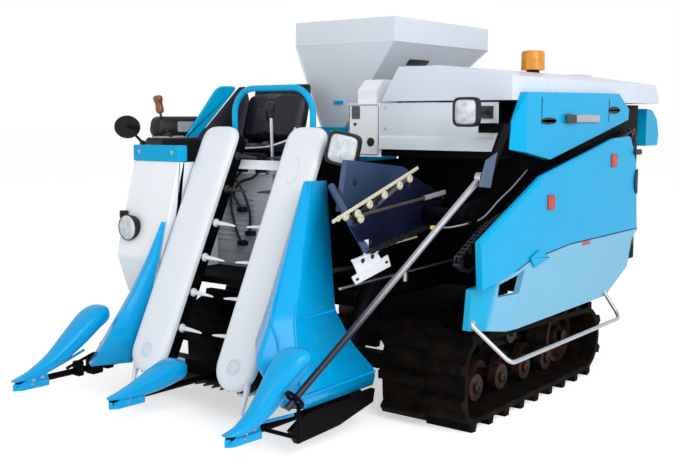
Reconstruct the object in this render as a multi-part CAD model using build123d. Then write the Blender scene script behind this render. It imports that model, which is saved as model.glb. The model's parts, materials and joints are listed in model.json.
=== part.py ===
from build123d import *
import math
import os

# Two-row rice harvester on rubber tracks: a feed chain and thresher on its left,
# an operator's place and grain hopper on its right, and a lifting crop header in front.
# X is forward, Y is the machine's left, Z is up, the floor is at z = 0. Millimetres.

# Shared sizes
overrun = 5.0
seat_gap = 0.3
sheet = 12.0
panel = 20.0

# Rubber tracks and their wheels
track_y = 585.0
track_width = 400.0
belt_thickness = 24.0
lug_height = 30.0
lug_root_length = 50.0
lug_tip_length = 34.0
lug_sink = 6.0
lug_count = 44
lug_reach_share = 0.54
sprocket_x, sprocket_z, sprocket_radius = 553.0, 252.0, 110.0
idler_x, idler_radius = -478.0, 132.0
roller_radius = 58.0
roller_width = 150.0
roller_hub_radius = 31.0
roller_step_share = 0.48
roller_xs = {"first": 600.0, "last": -300.0}
roller_count = 5
carrier_x, carrier_radius = 60.0, 45.0
axle_radius = 16.0
sprocket_teeth = 12
sprocket_tooth_depth = 16.0
sprocket_turn_shares = (-0.75, -0.3, 0.3, 0.75)
sprocket_width = 60.0
wheel_hub_radius = 46.0
wheel_web = 26.0
wheel_rim = 22.0
idler_width = 110.0

# Track beams and chassis
beam_height, beam_width = 70.0, 70.0
beam_drop = 4.0
cross_beam_xs = (330.0, -330.0)
cross_beam_size = 70.0
rail_y = 290.0
rail_width, rail_height = 60.0, 90.0
rail_z = 400.0
rail_front_x, rail_rear_x = 600.0, -1330.0
rail_tie_xs = (400.0, 60.0, -560.0, -1240.0)
post_size = 60.0
tie_plate_length, tie_plate_height, tie_plate_thickness = 70.0, 90.0, 14.0
tie_hole_radius = 16.0

# Thresher
thresher_front_x, thresher_rear_x = 292.0, -1290.0
thresher_right_y, thresher_left_y = 100.0, 700.0
thresher_floor_z, thresher_top_z = 492.0, 1330.0
thresher_wall = 16.0
throat_x, throat_z = 90.0, 1090.0
front_panel_low_z = 1122.0
front_ledge_depth, front_ledge_height = 26.0, 50.0
control_box_right_y = -85.0
control_box_x = 130.0
control_box_low_z, control_box_top_z = 1085.0, 1330.0
control_head_low_y, control_head_high_y, control_head_top_z = -45.0, 62.0, 1440.0
control_head_slope = 60.0

# Drum cover that opens upwards about its right-hand edge
cover_front_x, cover_rear_x = 312.0, -1400.0
cover_right_y = 112.0
cover_hinge_y, cover_hinge_z = 96.0, 1347.0
cover_pin_radius, cover_knuckle_radius, cover_knuckle_length = 7.0, 13.0, 90.0
cover_knuckle_xs = (40.0, -520.0, -1080.0)
cover_wall = 12.0
cover_low_z, cover_shoulder_z, cover_left_z = 1338.0, 1490.0, 1438.0
cover_shoulder_y, cover_bend_y, cover_left_y = 205.0, 430.0, 772.0
cover_rear_slope = 80.0
rib_xs_share = (0.18, 0.4, 0.62, 0.84)
rib_band = 220.0
rib_width, rib_height = 16.0, 8.0
beacon_x, beacon_y = -635.0, 390.0
beacon_radius, beacon_height = 50.0, 98.0
beacon_taper_share = 0.92
beacon_base_radius, beacon_base_height = 34.0, 14.0
side_plane_y = 772.3
upper_side_outline = {
    "front top": (240.0, 1372.0), "rear top": (-750.0, 1382.0), "rear shoulder": (-886.0, 1305.0),
    "rear low": (-880.0, 1253.0), "low": (12.0, 1082.0), "front low": (332.0, 1134.0),
    "front": (322.0, 1249.0)}
upper_side_thickness = 34.0

# Swinging lower side panel and its skirt
lower_plane_y = 838.0
lower_thickness = 26.0
lower_bevel = 12.0
lower_outline = {
    "rear top": (-785.0, 1172.0), "mid top": (-575.0, 1163.0), "fore top": (-336.0, 1117.0),
    "front top": (190.0, 1020.0), "front": (716.0, 790.0), "front seam": (700.0, 604.0),
    "seam fore": (480.0, 632.0), "seam": (290.0, 678.0), "seam mid": (-90.0, 705.0),
    "seam rear": (-905.0, 705.0), "rear": (-868.0, 1040.0)}
skirt_outline = {
    "front top": (690.0, 598.0), "seam fore": (480.0, 626.0), "seam": (290.0, 672.0),
    "seam mid": (-90.0, 699.0), "seam rear": (-905.0, 699.0), "rear": (-823.0, 648.0),
    "rear low": (-779.0, 521.0), "low rear": (-513.0, 408.0), "low front": (478.0, 402.0),
    "front low": (708.0, 438.0)}
skirt_port = {"front top": (525.0, 600.0), "rear top": (345.0, 642.0), "rear low": (392.0, 550.0),
              "front low": (535.0, 548.0)}
skirt_bend_x, skirt_bend_set = 410.0, 56.0
panel_hinge_x, panel_hinge_y = -925.0, 812.0
hinge_knuckle_radius = 12.0
hinge_knuckle_length = 90.0
hinge_pin_radius = 6.0
hinge_zs = (640.0, 960.0)
reflector_places = {"front": (120.0, 905.0), "rear": (-560.0, 1060.0)}
reflector_length, reflector_height, reflector_thickness = 64.0, 64.0, 8.0
guard_rod_radius = 9.0
guard_rod_y, guard_rod_z = 956.0, 316.0
guard_rod_front_x, guard_rod_rear_x = 631.0, -472.0
guard_rod_bend = 45.0

# Feed chain and its rail
chain_y, chain_width = 738.0, 30.0
chain_thickness = 12.0
chain_low_x, chain_low_z = 690.0, 700.0
chain_turn_x, chain_turn_z = 470.0, 815.0
chain_end_x, chain_end_z = -1130.0, 1200.0
chain_depth = 84.0
chain_tooth_pitch = 76.0
chain_tooth_height = 26.0
chain_tooth_length = 30.0

# Straw outlet and its hood
outlet_rear_x = -1420.0
outlet_low_z, outlet_top_z = 620.0, 1300.0
outlet_right_y, outlet_left_y = 110.0, 650.0
hood_hinge_x, hood_hinge_z = -1436.0, 1306.0
hood_pin_radius, hood_knuckle_radius, hood_knuckle_length = 6.0, 11.0, 60.0
hood_knuckle_ys = (200.0, 540.0)
hood_rear_x = -1645.0
hood_low_z = 1105.0
hood_wall = 14.0
hood_form_shares = {"brow run": 0.45, "brow drop": 0.04, "bend run": 0.84, "bend drop": 0.3, "lip": 0.3}
hood_right_y, hood_left_y = 105.0, 690.0

# Grain hopper
tank_front_x, tank_rear_x = 60.0, -850.0
tank_right_y, tank_left_y = -604.0, 8.0
tank_top_z, tank_band_z, tank_foot_z = 1745.0, 1630.0, 1215.0
tank_foot_front_x, tank_foot_rear_x = -20.0, -560.0
tank_foot_right_y, tank_foot_left_y = -500.0, -350.0
tank_wall = 12.0
flange_height = 45.0
flange_margin = 26.0
spout_length, spout_width, spout_height = 190.0, 110.0, 170.0
spout_xs = (-150.0, -430.0)

# Operator's place
deck_z, deck_thickness = 520.0, 30.0
deck_right_y, deck_left_y = -955.0, -60.0
deck_front_x, deck_rear_x = 860.0, 90.0
bag_deck_rear_x, bag_deck_left_y = -1240.0, -392.0
bag_rail_height, bag_rail_bend = 510.0, 60.0
front_wall_right_y, front_wall_left_y = -962.0, -650.0
front_wall = 34.0
front_wall_shape = {
    "top": (846.0, 1060.0), "crease": (871.0, 974.0), "corner": (970.0, 620.0), "chin": (905.0, 436.0),
    "inner chin": (862.0, 436.0), "inner low": (862.0, 560.0)}
strip_low_z, strip_top_z, strip_depth, strip_front_x = 1060.3, 1136.0, 60.0, 852.0
console_right_y, console_left_y = -950.0, -830.0
console_rear_x = 120.0
console_top_z, console_low_z = 1168.0, 1050.0
console_arm_height = 30.0
lamp_z, lamp_y, lamp_radius, lamp_depth = 752.0, -880.0, 62.0, 70.0
lamp_stand_share, lamp_bowl_share = 0.4, 0.92
mirror_x, mirror_y, mirror_z = 925.0, -905.0, 1220.0
mirror_radius, mirror_depth = 60.0, 24.0
mirror_arm_radius = 7.0
seat_front_x, seat_back_x = 505.0, 140.0
seat_right_y, seat_left_y = -828.0, -410.0
seat_low_z, seat_cushion_z, seat_top_z = 1060.0, 1150.0, 1432.0
seat_back_thickness = 100.0
seat_back_lean = 60.0
hood_front_x, hood_back_x = 560.0, 96.0
engine_hood_right_y, engine_hood_left_y = -815.0, -330.0
engine_hood_top_z = 1000.0
seat_mount_height = 60.0
engine_x, engine_y, engine_z = 330.0, -580.0, 770.0
engine_length, engine_breadth, engine_height = 400.0, 380.0, 400.0
arch_x, arch_foot_z = 630.0, 1186.0
arch_right_y, arch_left_y = -499.0, -30.0
arch_top_z, arch_bend, arch_radius = 1397.0, 118.0, 14.0
arch_bar_z, arch_bar_depth = 1050.0, 26.0
side_guard_y, side_guard_thickness = -846.0, 16.0
side_guard_outline = {"low front": (620.0, 1168.3), "low rear": (535.0, 1168.3), "high rear": (240.0, 1424.0),
                      "high front": (390.0, 1424.0)}
lever_radius, lever_knob_radius, lever_grip_radius, lever_grip_length = 9.0, 24.0, 16.0, 62.0
lever_table = {  # name: foot x, y, z, lean forward, height
    "shift": (715.0, -888.0, 1168.3, 36.0, 176.0),
    "lift": (541.0, -347.0, 1000.3, 8.0, 312.0)}

# Header lifting pivot
pivot_x, pivot_z = 480.0, 860.0
pivot_radius = 30.0
pivot_wall_ys = {"right": 104.0, "left": 655.0}
pivot_ear_radius, pivot_ear_thickness = 52.0, 24.0
pivot_clearance = 0.3
arm_radius = 32.0
arm_foot_x, arm_foot_z = 930.0, 215.0
arm_ys = (40.0, 322.0)
toe_beam_x, toe_beam_z = 930.0, 150.0
toe_beam_depth, toe_beam_height = 70.0, 60.0
toe_right_y, toe_left_y = -850.0, 430.0

# Lift cylinder
cylinder_y = -180.0
cylinder_foot_x, cylinder_foot_z = 400.0, 360.0
cylinder_eye_x, cylinder_eye_z = 905.0, 300.0
barrel_radius, rod_radius, eye_radius, eye_pin_radius = 26.0, 14.0, 24.0, 9.0
eye_width = 30.0
barrel_share = 0.62
neck_radius = 12.0

# Pick-up cases with their tines
case_foot_x, case_foot_z = 1212.0, 172.0
case_top_x, case_top_z = 690.0, 1232.0
case_width, case_depth = 215.0, 100.0
case_edge_round = 26.0
case_corner_share = 0.32
case_ys = {"right": -530.0, "left": -12.0}
tine_shares = (0.1, 0.24, 0.38, 0.52, 0.66, 0.8)
tine_length, tine_root, tine_tip = 125.0, 22.0, 9.0
tine_droop = 28.0
tine_depth_share = 0.6

# Crop dividers
divider_table = {  # name: tip y, heel y, tip x, height of the spoon's heel, heel x
    "right": (-834.0, -846.0, 1645.0, 432.0, 1245.0),
    "middle": (-310.0, -310.0, 1573.0, 262.0, 1262.0),
    "left": (368.0, 474.0, 1617.0, 430.0, 1296.0)}
divider_tip_z = 160.0
divider_half_width, divider_half_height = 54.0, 42.0
divider_ring_shares = (  # way from tip to heel, rise, width, height
    (0.0, 0.0, 0.16, 0.2), (0.2, 0.06, 0.45, 0.42), (0.45, 0.26, 0.72, 0.66), (0.7, 0.6, 0.92, 0.88),
    (0.9, 0.92, 1.0, 1.0), (1.02, 1.0, 0.82, 0.72), (1.08, 1.01, 0.36, 0.3))
divider_tube_radius = 14.0
divider_tube_z, divider_tube_end_z = 140.0, 148.5
divider_tube_end_share = 0.06
toe_plate_outline = {"rear top": (800.0, 165.0), "front top": (1235.0, 165.0), "front": (1330.0, 120.0),
                     "front low": (1290.0, 62.0), "rear low": (1040.0, 70.0), "rear": (812.0, 112.0)}
toe_plate_thickness = 22.0

# Knife
knife_x = 1010.0
knife_thickness = 8.0
knife_tooth_length, knife_tooth_pitch = 64.0, 50.0
knife_right_y, knife_left_y = -760.0, 340.0

# Header covers
left_cover_sections = {  # height, rear x, rear y, crease x, crease y, nose x, nose y, inner x
    "top": (1004.0, 785.0, 168.0, 892.0, 170.0, 905.0, 140.0, 850.0),
    "ledge": (505.0, 950.0, 340.0, 1225.0, 362.0, 1300.0, 300.0, 1100.0),
    "bulge": (365.0, 902.0, 392.0, 1268.0, 408.0, 1382.0, 300.0, 1178.0),
    "skirt": (235.0, 790.0, 428.0, 1262.0, 430.0, 1325.0, 340.0, 1080.0),
    "low": (180.3, 806.0, 424.0, 1235.0, 420.0, 1288.0, 345.0, 1030.0)}
right_cover_sections = {  # height, rear x, rear y, crease x, crease y, nose x, nose y, inner x
    "top": (790.0, 944.0, -660.0, 953.0, -663.0, 964.0, -650.0, 944.0),
    "upper": (640.0, 996.0, -690.0, 1008.0, -696.0, 1018.0, -672.0, 986.0),
    "middle": (480.0, 1012.0, -738.0, 1078.0, -742.0, 1104.0, -690.0, 1036.0),
    "low": (180.3, 880.0, -790.0, 1278.0, -796.0, 1318.0, -730.0, 1160.0)}
left_cover_inner_y, right_cover_inner_y = 108.0, -641.0
cover_skin = 7.0

# Crop conveyor
upper_plate_outline = {
    "top front": (785.0, 1093.0), "top rear": (380.0, 1050.0), "mouth": (330.0, 1030.0),
    "low rear": (470.0, 960.0), "low front": (832.0, 884.0)}
upper_plate_y, plate_thickness = 250.0, 26.0
lower_plate_outline = {
    "top rear": (573.0, 1025.0), "tail": (305.0, 922.0), "low": (440.0, 818.0),
    "foot": (899.0, 752.0), "front": (974.0, 848.0)}
lower_plate_y = 430.3
star_count = 6
star_radius, star_thickness, star_hub, star_points = 38.0, 14.0, 20.0, 6
star_root_share = 0.62
star_front_x, star_front_z = 915.0, 878.0
star_rear_x, star_rear_z = 560.0, 994.0
star_y = 410.0

# Side pole
pole_hinge_x, pole_hinge_y, pole_hinge_z = 530.0, 750.0, 1024.0
pole_foot_x, pole_foot_y, pole_foot_z = 1470.0, 530.0, 258.0
pole_radius = 13.0
pole_boss_radius = 23.0
pole_bracket_top_x, pole_bracket_top_z = 371.0, 1222.0
pole_bracket_thickness, pole_bracket_width = 14.0, 40.0
pole_pin_radius = 8.0
pole_eye_gap = 14.0
pole_eye_thickness = 10.0
pole_eye_stem_radius = 8.0

# Square work lamps
work_lamp_size, work_lamp_depth, work_lamp_round = 122.0, 70.0, 24.0
right_work_lamp = {"x": 450.0, "y": 649.0, "z": 1288.0}
left_work_lamp = {"x": 700.0, "y": 183.0, "z": 1134.0}
lamp_stalk_radius = 9.0


def slab_y(outline, y_from, y_to):
    """A flat plate: an outline of (x, z) corners carried along Y."""
    face = make_face(Polyline(*[(x, y_from, z) for x, z in outline], close=True))
    return extrude(face, amount=y_to - y_from, dir=(0, 1, 0))


def slab_x(outline, x_from, x_to):
    """A plate from an outline of (y, z) corners carried along X."""
    face = make_face(Polyline(*[(x_from, y, z) for y, z in outline], close=True))
    return extrude(face, amount=x_to - x_from, dir=(1, 0, 0))


def slab_z(outline, z_from, z_to):
    """A plate from an outline of (x, y) corners carried along Z."""
    face = make_face(Polyline(*[(x, y, z_from) for x, y in outline], close=True))
    return extrude(face, amount=z_to - z_from, dir=(0, 0, 1))


def block(x_span, y_span, z_span):
    """A box between two values on each axis."""
    (x_a, x_b), (y_a, y_b), (z_a, z_b) = x_span, y_span, z_span
    centre = ((x_a + x_b) / 2, (y_a + y_b) / 2, (z_a + z_b) / 2)
    return Pos(*centre) * Box(abs(x_b - x_a), abs(y_b - y_a), abs(z_b - z_a))


def rod(start, end, radius):
    """A round bar between two points."""
    run = Vector(*end) - Vector(*start)
    return extrude(Plane(origin=start, z_dir=run) * Circle(radius), amount=run.length)


def bent_rod(points, radius, bend):
    """A round bar along straight runs joined by equal bends."""
    path = FilletPolyline(*points, radius=bend)
    return sweep(Plane(origin=path @ 0, z_dir=path % 0) * Circle(radius), path=path)


def disc_y(x, z, y_from, y_to, radius):
    """A round disc whose axis is along Y."""
    return rod((x, y_from, z), (x, y_to, z), radius)


def loop_face(wheels, grow):
    """The area inside a belt that runs round wheels of (x, z, radius), grown outwards."""
    rings = [Pos(x, z) * Circle(radius + grow) for x, z, radius in wheels]
    return make_hull([edge for ring in rings for edge in ring.edges()])


# Worked-out places of the track wheels: the lowest points of the lugs stand on the floor
belt_bottom = lug_height + belt_thickness
roller_z = belt_bottom + roller_radius + seat_gap
idler_z = belt_bottom + idler_radius + seat_gap
roller_pitch = (roller_xs["first"] - roller_xs["last"]) / (roller_count - 1)
bottom_rollers = [(roller_xs["first"] - i * roller_pitch, roller_z) for i in range(roller_count)]
belt_wheels = [(sprocket_x, sprocket_z, sprocket_radius), (idler_x, idler_z, idler_radius),
               (roller_xs["first"], roller_z, roller_radius)]
carrier_z = (sprocket_z + sprocket_radius + (idler_z + idler_radius - sprocket_z - sprocket_radius)
             * (sprocket_x - carrier_x) / (sprocket_x - idler_x)) - carrier_radius


def track(side):
    """A rubber belt with half-width lugs that alternate from side to side."""
    y_low = side * track_y - track_width / 2
    to_world = Plane(origin=(0, y_low, 0), x_dir=(1, 0, 0), z_dir=(0, -1, 0))
    outer = loop_face(belt_wheels, seat_gap + belt_thickness)
    inner = loop_face(belt_wheels, seat_gap)
    belt = extrude(to_world * (outer - inner), amount=-track_width)
    rim = outer.wires()[0]
    reach = lug_reach_share * track_width
    lugs = []
    for i in range(lug_count):
        share = (i + 0.5) / lug_count
        foot, along = rim @ share, rim % share
        away = Vector(along.Y, -along.X)
        if away.dot(foot - outer.center()) < 0:
            away = -away
        near, far = foot - away * lug_sink, foot + away * lug_height
        half_root, half_tip = along * (lug_root_length / 2), along * (lug_tip_length / 2)
        corners = [near - half_root, near + half_root, far + half_tip, far - half_tip]
        inboard = 0 if (i % 2 == 0) else track_width - reach
        lugs.append(slab_y([(p.X, p.Y) for p in corners], y_low + inboard, y_low + inboard + reach))
    return belt.fuse(*lugs)


def wheels_of(side):
    """The sprocket, idler, bottom rollers and carrier roller of one track, each bored for its axle."""
    bore_radius = axle_radius + pivot_clearance
    centre = side * track_y
    solids = []
    for x, z in bottom_rollers:
        flanges = disc_y(x, z, centre - roller_width / 2, centre + roller_width / 2, roller_radius)
        waist_half = roller_width * roller_step_share / 2
        waist = disc_y(x, z, centre - waist_half, centre + waist_half, roller_radius + overrun)
        waist -= disc_y(x, z, centre - waist_half, centre + waist_half, roller_hub_radius)
        solids.append(flanges - waist - disc_y(x, z, centre - roller_width, centre + roller_width, bore_radius))
    carrier = disc_y(carrier_x, carrier_z, centre - roller_width / 2, centre + roller_width / 2,
                     carrier_radius - seat_gap)
    solids.append(carrier - disc_y(carrier_x, carrier_z, centre - roller_width, centre + roller_width, bore_radius))
    idler = disc_y(idler_x, idler_z, centre - idler_width / 2, centre + idler_width / 2, idler_radius)
    for face in (-1, 1):
        dish_from = centre + face * wheel_web / 2
        dish = disc_y(idler_x, idler_z, dish_from, dish_from + face * idler_width, idler_radius - wheel_rim)
        dish -= disc_y(idler_x, idler_z, dish_from, dish_from + face * idler_width, wheel_hub_radius)
        idler -= dish
    solids.append(idler - disc_y(idler_x, idler_z, centre - idler_width, centre + idler_width, bore_radius))
    root = sprocket_radius - sprocket_tooth_depth
    half_step = math.pi / sprocket_teeth
    outline = []
    for i in range(sprocket_teeth):
        middle = 2 * half_step * i
        for turn_share, radius in zip(sprocket_turn_shares, (root, sprocket_radius, sprocket_radius, root)):
            turn = middle + turn_share * half_step
            outline.append((sprocket_x + radius * math.cos(turn), sprocket_z + radius * math.sin(turn)))
    sprocket = slab_y(outline, centre - sprocket_width / 2, centre + sprocket_width / 2)
    solids.append(sprocket - disc_y(sprocket_x, sprocket_z, centre - sprocket_width,
                                    centre + sprocket_width, bore_radius))
    return Compound(children=solids)


def beam_of(side):
    """The beam that runs inside one track, with the axles of its wheels and a riser to the top roller."""
    inner_y = side * (track_y - track_width / 2)
    beam_y = side * (track_y - roller_width / 2 - beam_width / 2 - overrun)
    y_a, y_b = beam_y - beam_width / 2, beam_y + beam_width / 2
    axle_end = side * (track_y + roller_width / 2 + overrun)
    beam_top = roller_z + beam_height
    beam = block((idler_x, roller_xs["first"]), (y_a, y_b), (roller_z - beam_drop, beam_top))
    pieces = [disc_y(x, z, beam_y, axle_end, axle_radius) for x, z in bottom_rollers]
    pieces.append(disc_y(idler_x, idler_z, beam_y, axle_end, axle_radius))
    pieces.append(disc_y(idler_x, idler_z, y_a, y_b, wheel_hub_radius))
    pieces.append(disc_y(carrier_x, carrier_z, beam_y, axle_end, axle_radius))
    pieces.append(block((carrier_x - axle_radius, carrier_x + axle_radius), (y_a, y_b),
                        (beam_top - overrun, carrier_z + axle_radius)))
    gearbox = disc_y(sprocket_x, sprocket_z, inner_y, side * (track_y - roller_width / 2 - overrun),
                     sprocket_radius - sprocket_tooth_depth - overrun)
    pieces.append(gearbox)
    pieces.append(disc_y(sprocket_x, sprocket_z, inner_y, axle_end, axle_radius))
    pieces.append(slab_y([(roller_xs["first"] - roller_radius, roller_z - beam_drop),
                          (sprocket_x, sprocket_z - sprocket_radius + roller_radius),
                          (sprocket_x, sprocket_z + axle_radius), (roller_xs["first"], beam_top)],
                         min(y_a, y_b), max(y_a, y_b)))
    return beam.fuse(*pieces)


def track_wheels():
    """The wheels of both tracks."""
    return Compound(children=[wheels_of(-1), wheels_of(1)])


def track_beams():
    """The beams of both tracks."""
    return Compound(children=[beam_of(-1), beam_of(1)])


def chassis():
    """Two long rails with ties, cross beams, outriggers, the hopper's legs and the cylinder's clevis."""
    beam_inner_y = track_y - roller_width / 2 - beam_width - overrun
    cross_top = roller_z + beam_height
    pieces = []
    for side in (-1, 1):
        y_a, y_b = side * (rail_y - rail_width / 2), side * (rail_y + rail_width / 2)
        pieces.append(block((rail_rear_x, rail_front_x), (y_a, y_b), (rail_z, rail_z + rail_height)))
        for x in cross_beam_xs:
            pieces.append(block((x - post_size / 2, x + post_size / 2), (y_a, y_b), (cross_top - overrun, rail_z)))
        plate_y = side * rail_y
        plate = block((rail_rear_x - tie_plate_length, rail_rear_x),
                      (plate_y - tie_plate_thickness / 2, plate_y + tie_plate_thickness / 2),
                      (rail_z, rail_z + tie_plate_height))
        hole_x, hole_z = rail_rear_x - tie_plate_length / 2, rail_z + tie_plate_height / 2
        plate -= disc_y(hole_x, hole_z, plate_y - tie_plate_thickness, plate_y + tie_plate_thickness,
                        tie_hole_radius)
        pieces.append(plate)
    for x in cross_beam_xs:
        pieces.append(block((x - cross_beam_size / 2, x + cross_beam_size / 2),
                            (-beam_inner_y, beam_inner_y), (cross_top - cross_beam_size, cross_top)))
    for x in rail_tie_xs:
        pieces.append(block((x - rail_width / 2, x + rail_width / 2), (-rail_y, rail_y),
                            (rail_z, rail_z + rail_width)))
    pieces += outriggers() + tank_legs() + cylinder_clevis()
    return pieces[0].fuse(*pieces[1:])


def thresher_body():
    """The threshing case, open underneath: its lower front steps back under the feed throat."""
    outline = [(thresher_front_x, thresher_top_z), (thresher_rear_x, thresher_top_z),
               (thresher_rear_x, thresher_floor_z), (throat_x, thresher_floor_z),
               (throat_x, throat_z), (thresher_front_x, throat_z)]
    case = slab_y(outline, thresher_right_y, thresher_left_y)
    wall = thresher_wall
    room = [(thresher_front_x - wall, thresher_top_z - wall), (thresher_rear_x + wall, thresher_top_z - wall),
            (thresher_rear_x + wall, thresher_floor_z - overrun), (throat_x - wall, thresher_floor_z - overrun),
            (throat_x - wall, throat_z + wall), (thresher_front_x - wall, throat_z + wall)]
    return case - slab_y(room, thresher_right_y + wall, thresher_left_y - wall)


def thresher_front():
    """The pale plate on the thresher's front, with a bevelled ledge along its foot."""
    face_x = thresher_front_x
    ledge_x = face_x + front_ledge_depth
    ledge_z = front_panel_low_z + front_ledge_height
    outline = [(face_x, front_panel_low_z), (ledge_x, front_panel_low_z), (ledge_x - sheet / 2, ledge_z),
               (face_x + sheet, ledge_z + sheet), (face_x + sheet, thresher_top_z), (face_x, thresher_top_z)]
    return slab_y(outline, thresher_right_y, thresher_left_y)


def control_box():
    """The white electrical box beside the thresher's front, with a smaller head on top."""
    y_b = thresher_right_y - seat_gap
    box = block((control_box_x, thresher_front_x + sheet), (control_box_right_y, y_b),
                (control_box_low_z, control_box_top_z))
    head_front = thresher_front_x - sheet
    head = slab_y([(control_box_x, control_box_top_z - overrun), (head_front, control_box_top_z - overrun),
                   (head_front, control_box_top_z + control_head_slope),
                   (head_front - control_head_slope, control_head_top_z),
                   (control_box_x, control_head_top_z)], control_head_low_y, control_head_high_y)
    box = fillet(box.edges().filter_by(Axis.Z), sheet)
    return box + head


def drum_cover():
    """The hinged top cover: a folded sheet section along X, with ribs near its rear end."""
    outer = [(cover_right_y, cover_low_z), (cover_shoulder_y, cover_shoulder_z), (cover_bend_y, cover_shoulder_z),
             (cover_left_y, cover_left_z), (cover_left_y, cover_low_z)]
    shell = slab_x(outer, cover_rear_x, cover_front_x)
    inner = [(cover_right_y + 2 * cover_wall, cover_low_z - overrun),
             (cover_shoulder_y + cover_wall, cover_shoulder_z - cover_wall),
             (cover_bend_y, cover_shoulder_z - cover_wall),
             (cover_left_y - cover_wall, cover_left_z - cover_wall),
             (cover_left_y - cover_wall, cover_low_z - overrun)]
    room = slab_x(inner, cover_rear_x + cover_wall, cover_front_x - cover_wall)
    slope = [(cover_rear_x - overrun, cover_left_z - cover_rear_slope),
             (cover_rear_x + cover_rear_slope, cover_shoulder_z + overrun),
             (cover_rear_x - overrun, cover_shoulder_z + overrun)]
    rear_cut = slab_y(slope, cover_right_y - overrun, cover_left_y + overrun)
    shell = shell - rear_cut - (room - Pos(2 * cover_wall, 0, 0) * rear_cut)
    ribs = []
    for share in rib_xs_share:
        x = cover_rear_x + cover_rear_slope + share * rib_band
        ribs.append(slab_x([(cover_shoulder_y + sheet, cover_shoulder_z - sheet / 2),
                            (cover_shoulder_y + sheet, cover_shoulder_z + rib_height),
                            (cover_bend_y, cover_shoulder_z + rib_height),
                            (cover_bend_y, cover_shoulder_z - sheet / 2)], x, x + rib_width))
    cover = shell.fuse(*ribs)
    for x in cover_knuckle_xs:
        ends = ((x, cover_hinge_y, cover_hinge_z), (x + cover_knuckle_length, cover_hinge_y, cover_hinge_z))
        leaf = block((x, x + cover_knuckle_length), (cover_hinge_y, cover_right_y + cover_wall),
                     (cover_low_z, cover_hinge_z + cover_wall))
        cover = cover + rod(*ends, cover_knuckle_radius) + leaf
        cover -= rod(*ends, cover_pin_radius + pivot_clearance)
    return cover


def cover_pin():
    """The long pin on the thresher's right edge that the drum cover turns on, with its lugs."""
    low_x, high_x = min(cover_knuckle_xs) - panel, max(cover_knuckle_xs) + cover_knuckle_length + panel
    pin = rod((low_x, cover_hinge_y, cover_hinge_z), (high_x, cover_hinge_y, cover_hinge_z), cover_pin_radius)
    for x in cover_knuckle_xs:
        for lug_x in (x - panel, x + cover_knuckle_length + panel / 2):
            pin += block((lug_x, lug_x + panel / 2), (cover_hinge_y - cover_pin_radius,
                                                        cover_hinge_y + cover_pin_radius + 2 * seat_gap),
                         (thresher_top_z + seat_gap, cover_hinge_z))
    return pin


def upper_side_cover():
    """The blue cover over the feed chain, with a front facet turned inwards."""
    y_out = side_plane_y + upper_side_thickness
    plate = slab_y(list(upper_side_outline.values()), side_plane_y, y_out)
    nose_x = upper_side_outline["front low"][0]
    facet = slab_z([(nose_x + overrun, side_plane_y), (nose_x + overrun, y_out + overrun),
                    (nose_x - 3 * upper_side_thickness, y_out + overrun)], 0, tank_top_z)
    return plate - facet


def beacon():
    """An amber beacon: a tapered lens on a round base."""
    base_z = cover_shoulder_z + seat_gap
    base = Pos(beacon_x, beacon_y, base_z + beacon_base_height / 2) * Cylinder(beacon_base_radius,
                                                                               beacon_base_height)
    lens = Pos(beacon_x, beacon_y, base_z + beacon_base_height + beacon_height / 2) * Cone(
        beacon_radius, beacon_radius * beacon_taper_share, beacon_height)
    return base + lens


def lower_side_panel():
    """The big swinging blue panel, bevelled along its upper edge, on two hinge knuckles."""
    y_out = lower_plane_y + lower_thickness
    plate = slab_y(list(lower_outline.values()), lower_plane_y, y_out)
    top_edges = [edge for edge in plate.edges()
                 if abs(edge.center().Y - y_out) < seat_gap and edge.center().Z > lower_outline["seam mid"][1]
                 + panel and abs((edge @ 1 - edge @ 0).X) > panel]
    return chamfer(top_edges, lower_bevel)


def side_skirt():
    """The paler lower part of the side panel, bent inwards at its front, with a port there."""
    inner_y, outer_y = lower_plane_y, lower_plane_y + lower_thickness
    rear_x, front_x = skirt_outline["seam rear"][0] - overrun, skirt_outline["front low"][0] + overrun
    plan = slab_z([(rear_x, inner_y), (skirt_bend_x, inner_y), (front_x, inner_y - skirt_bend_set),
                   (front_x, outer_y - skirt_bend_set), (skirt_bend_x, outer_y), (rear_x, outer_y)],
                  0, tank_top_z)
    plate = slab_y(list(skirt_outline.values()), inner_y - skirt_bend_set, outer_y) & plan
    return plate - slab_y(list(skirt_port.values()), inner_y - skirt_bend_set, outer_y + overrun)


def reflectors():
    """Red reflectors on the side panel's outer face."""
    y_face = lower_plane_y + lower_thickness
    return Compound(children=[
        block((x - reflector_length / 2, x + reflector_length / 2),
              (y_face, y_face + reflector_thickness),
              (z - reflector_height / 2, z + reflector_height / 2))
        for x, z in reflector_places.values()])


def panel_hinge():
    """The bored knuckles and straps that carry the side panel and skirt at their rear edge."""
    pieces = []
    for z in hinge_zs:
        knuckle = Pos(panel_hinge_x, panel_hinge_y, z) * Cylinder(hinge_knuckle_radius, hinge_knuckle_length)
        strap = block((panel_hinge_x, panel_hinge_x + 4 * panel),
                      (panel_hinge_y, lower_plane_y - seat_gap),
                      (z - hinge_knuckle_length / 4, z + hinge_knuckle_length / 4))
        bore = Pos(panel_hinge_x, panel_hinge_y, z) * Cylinder(hinge_pin_radius + pivot_clearance,
                                                               2 * hinge_knuckle_length)
        pieces.append(knuckle + strap - bore)
    return Compound(children=pieces)


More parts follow.
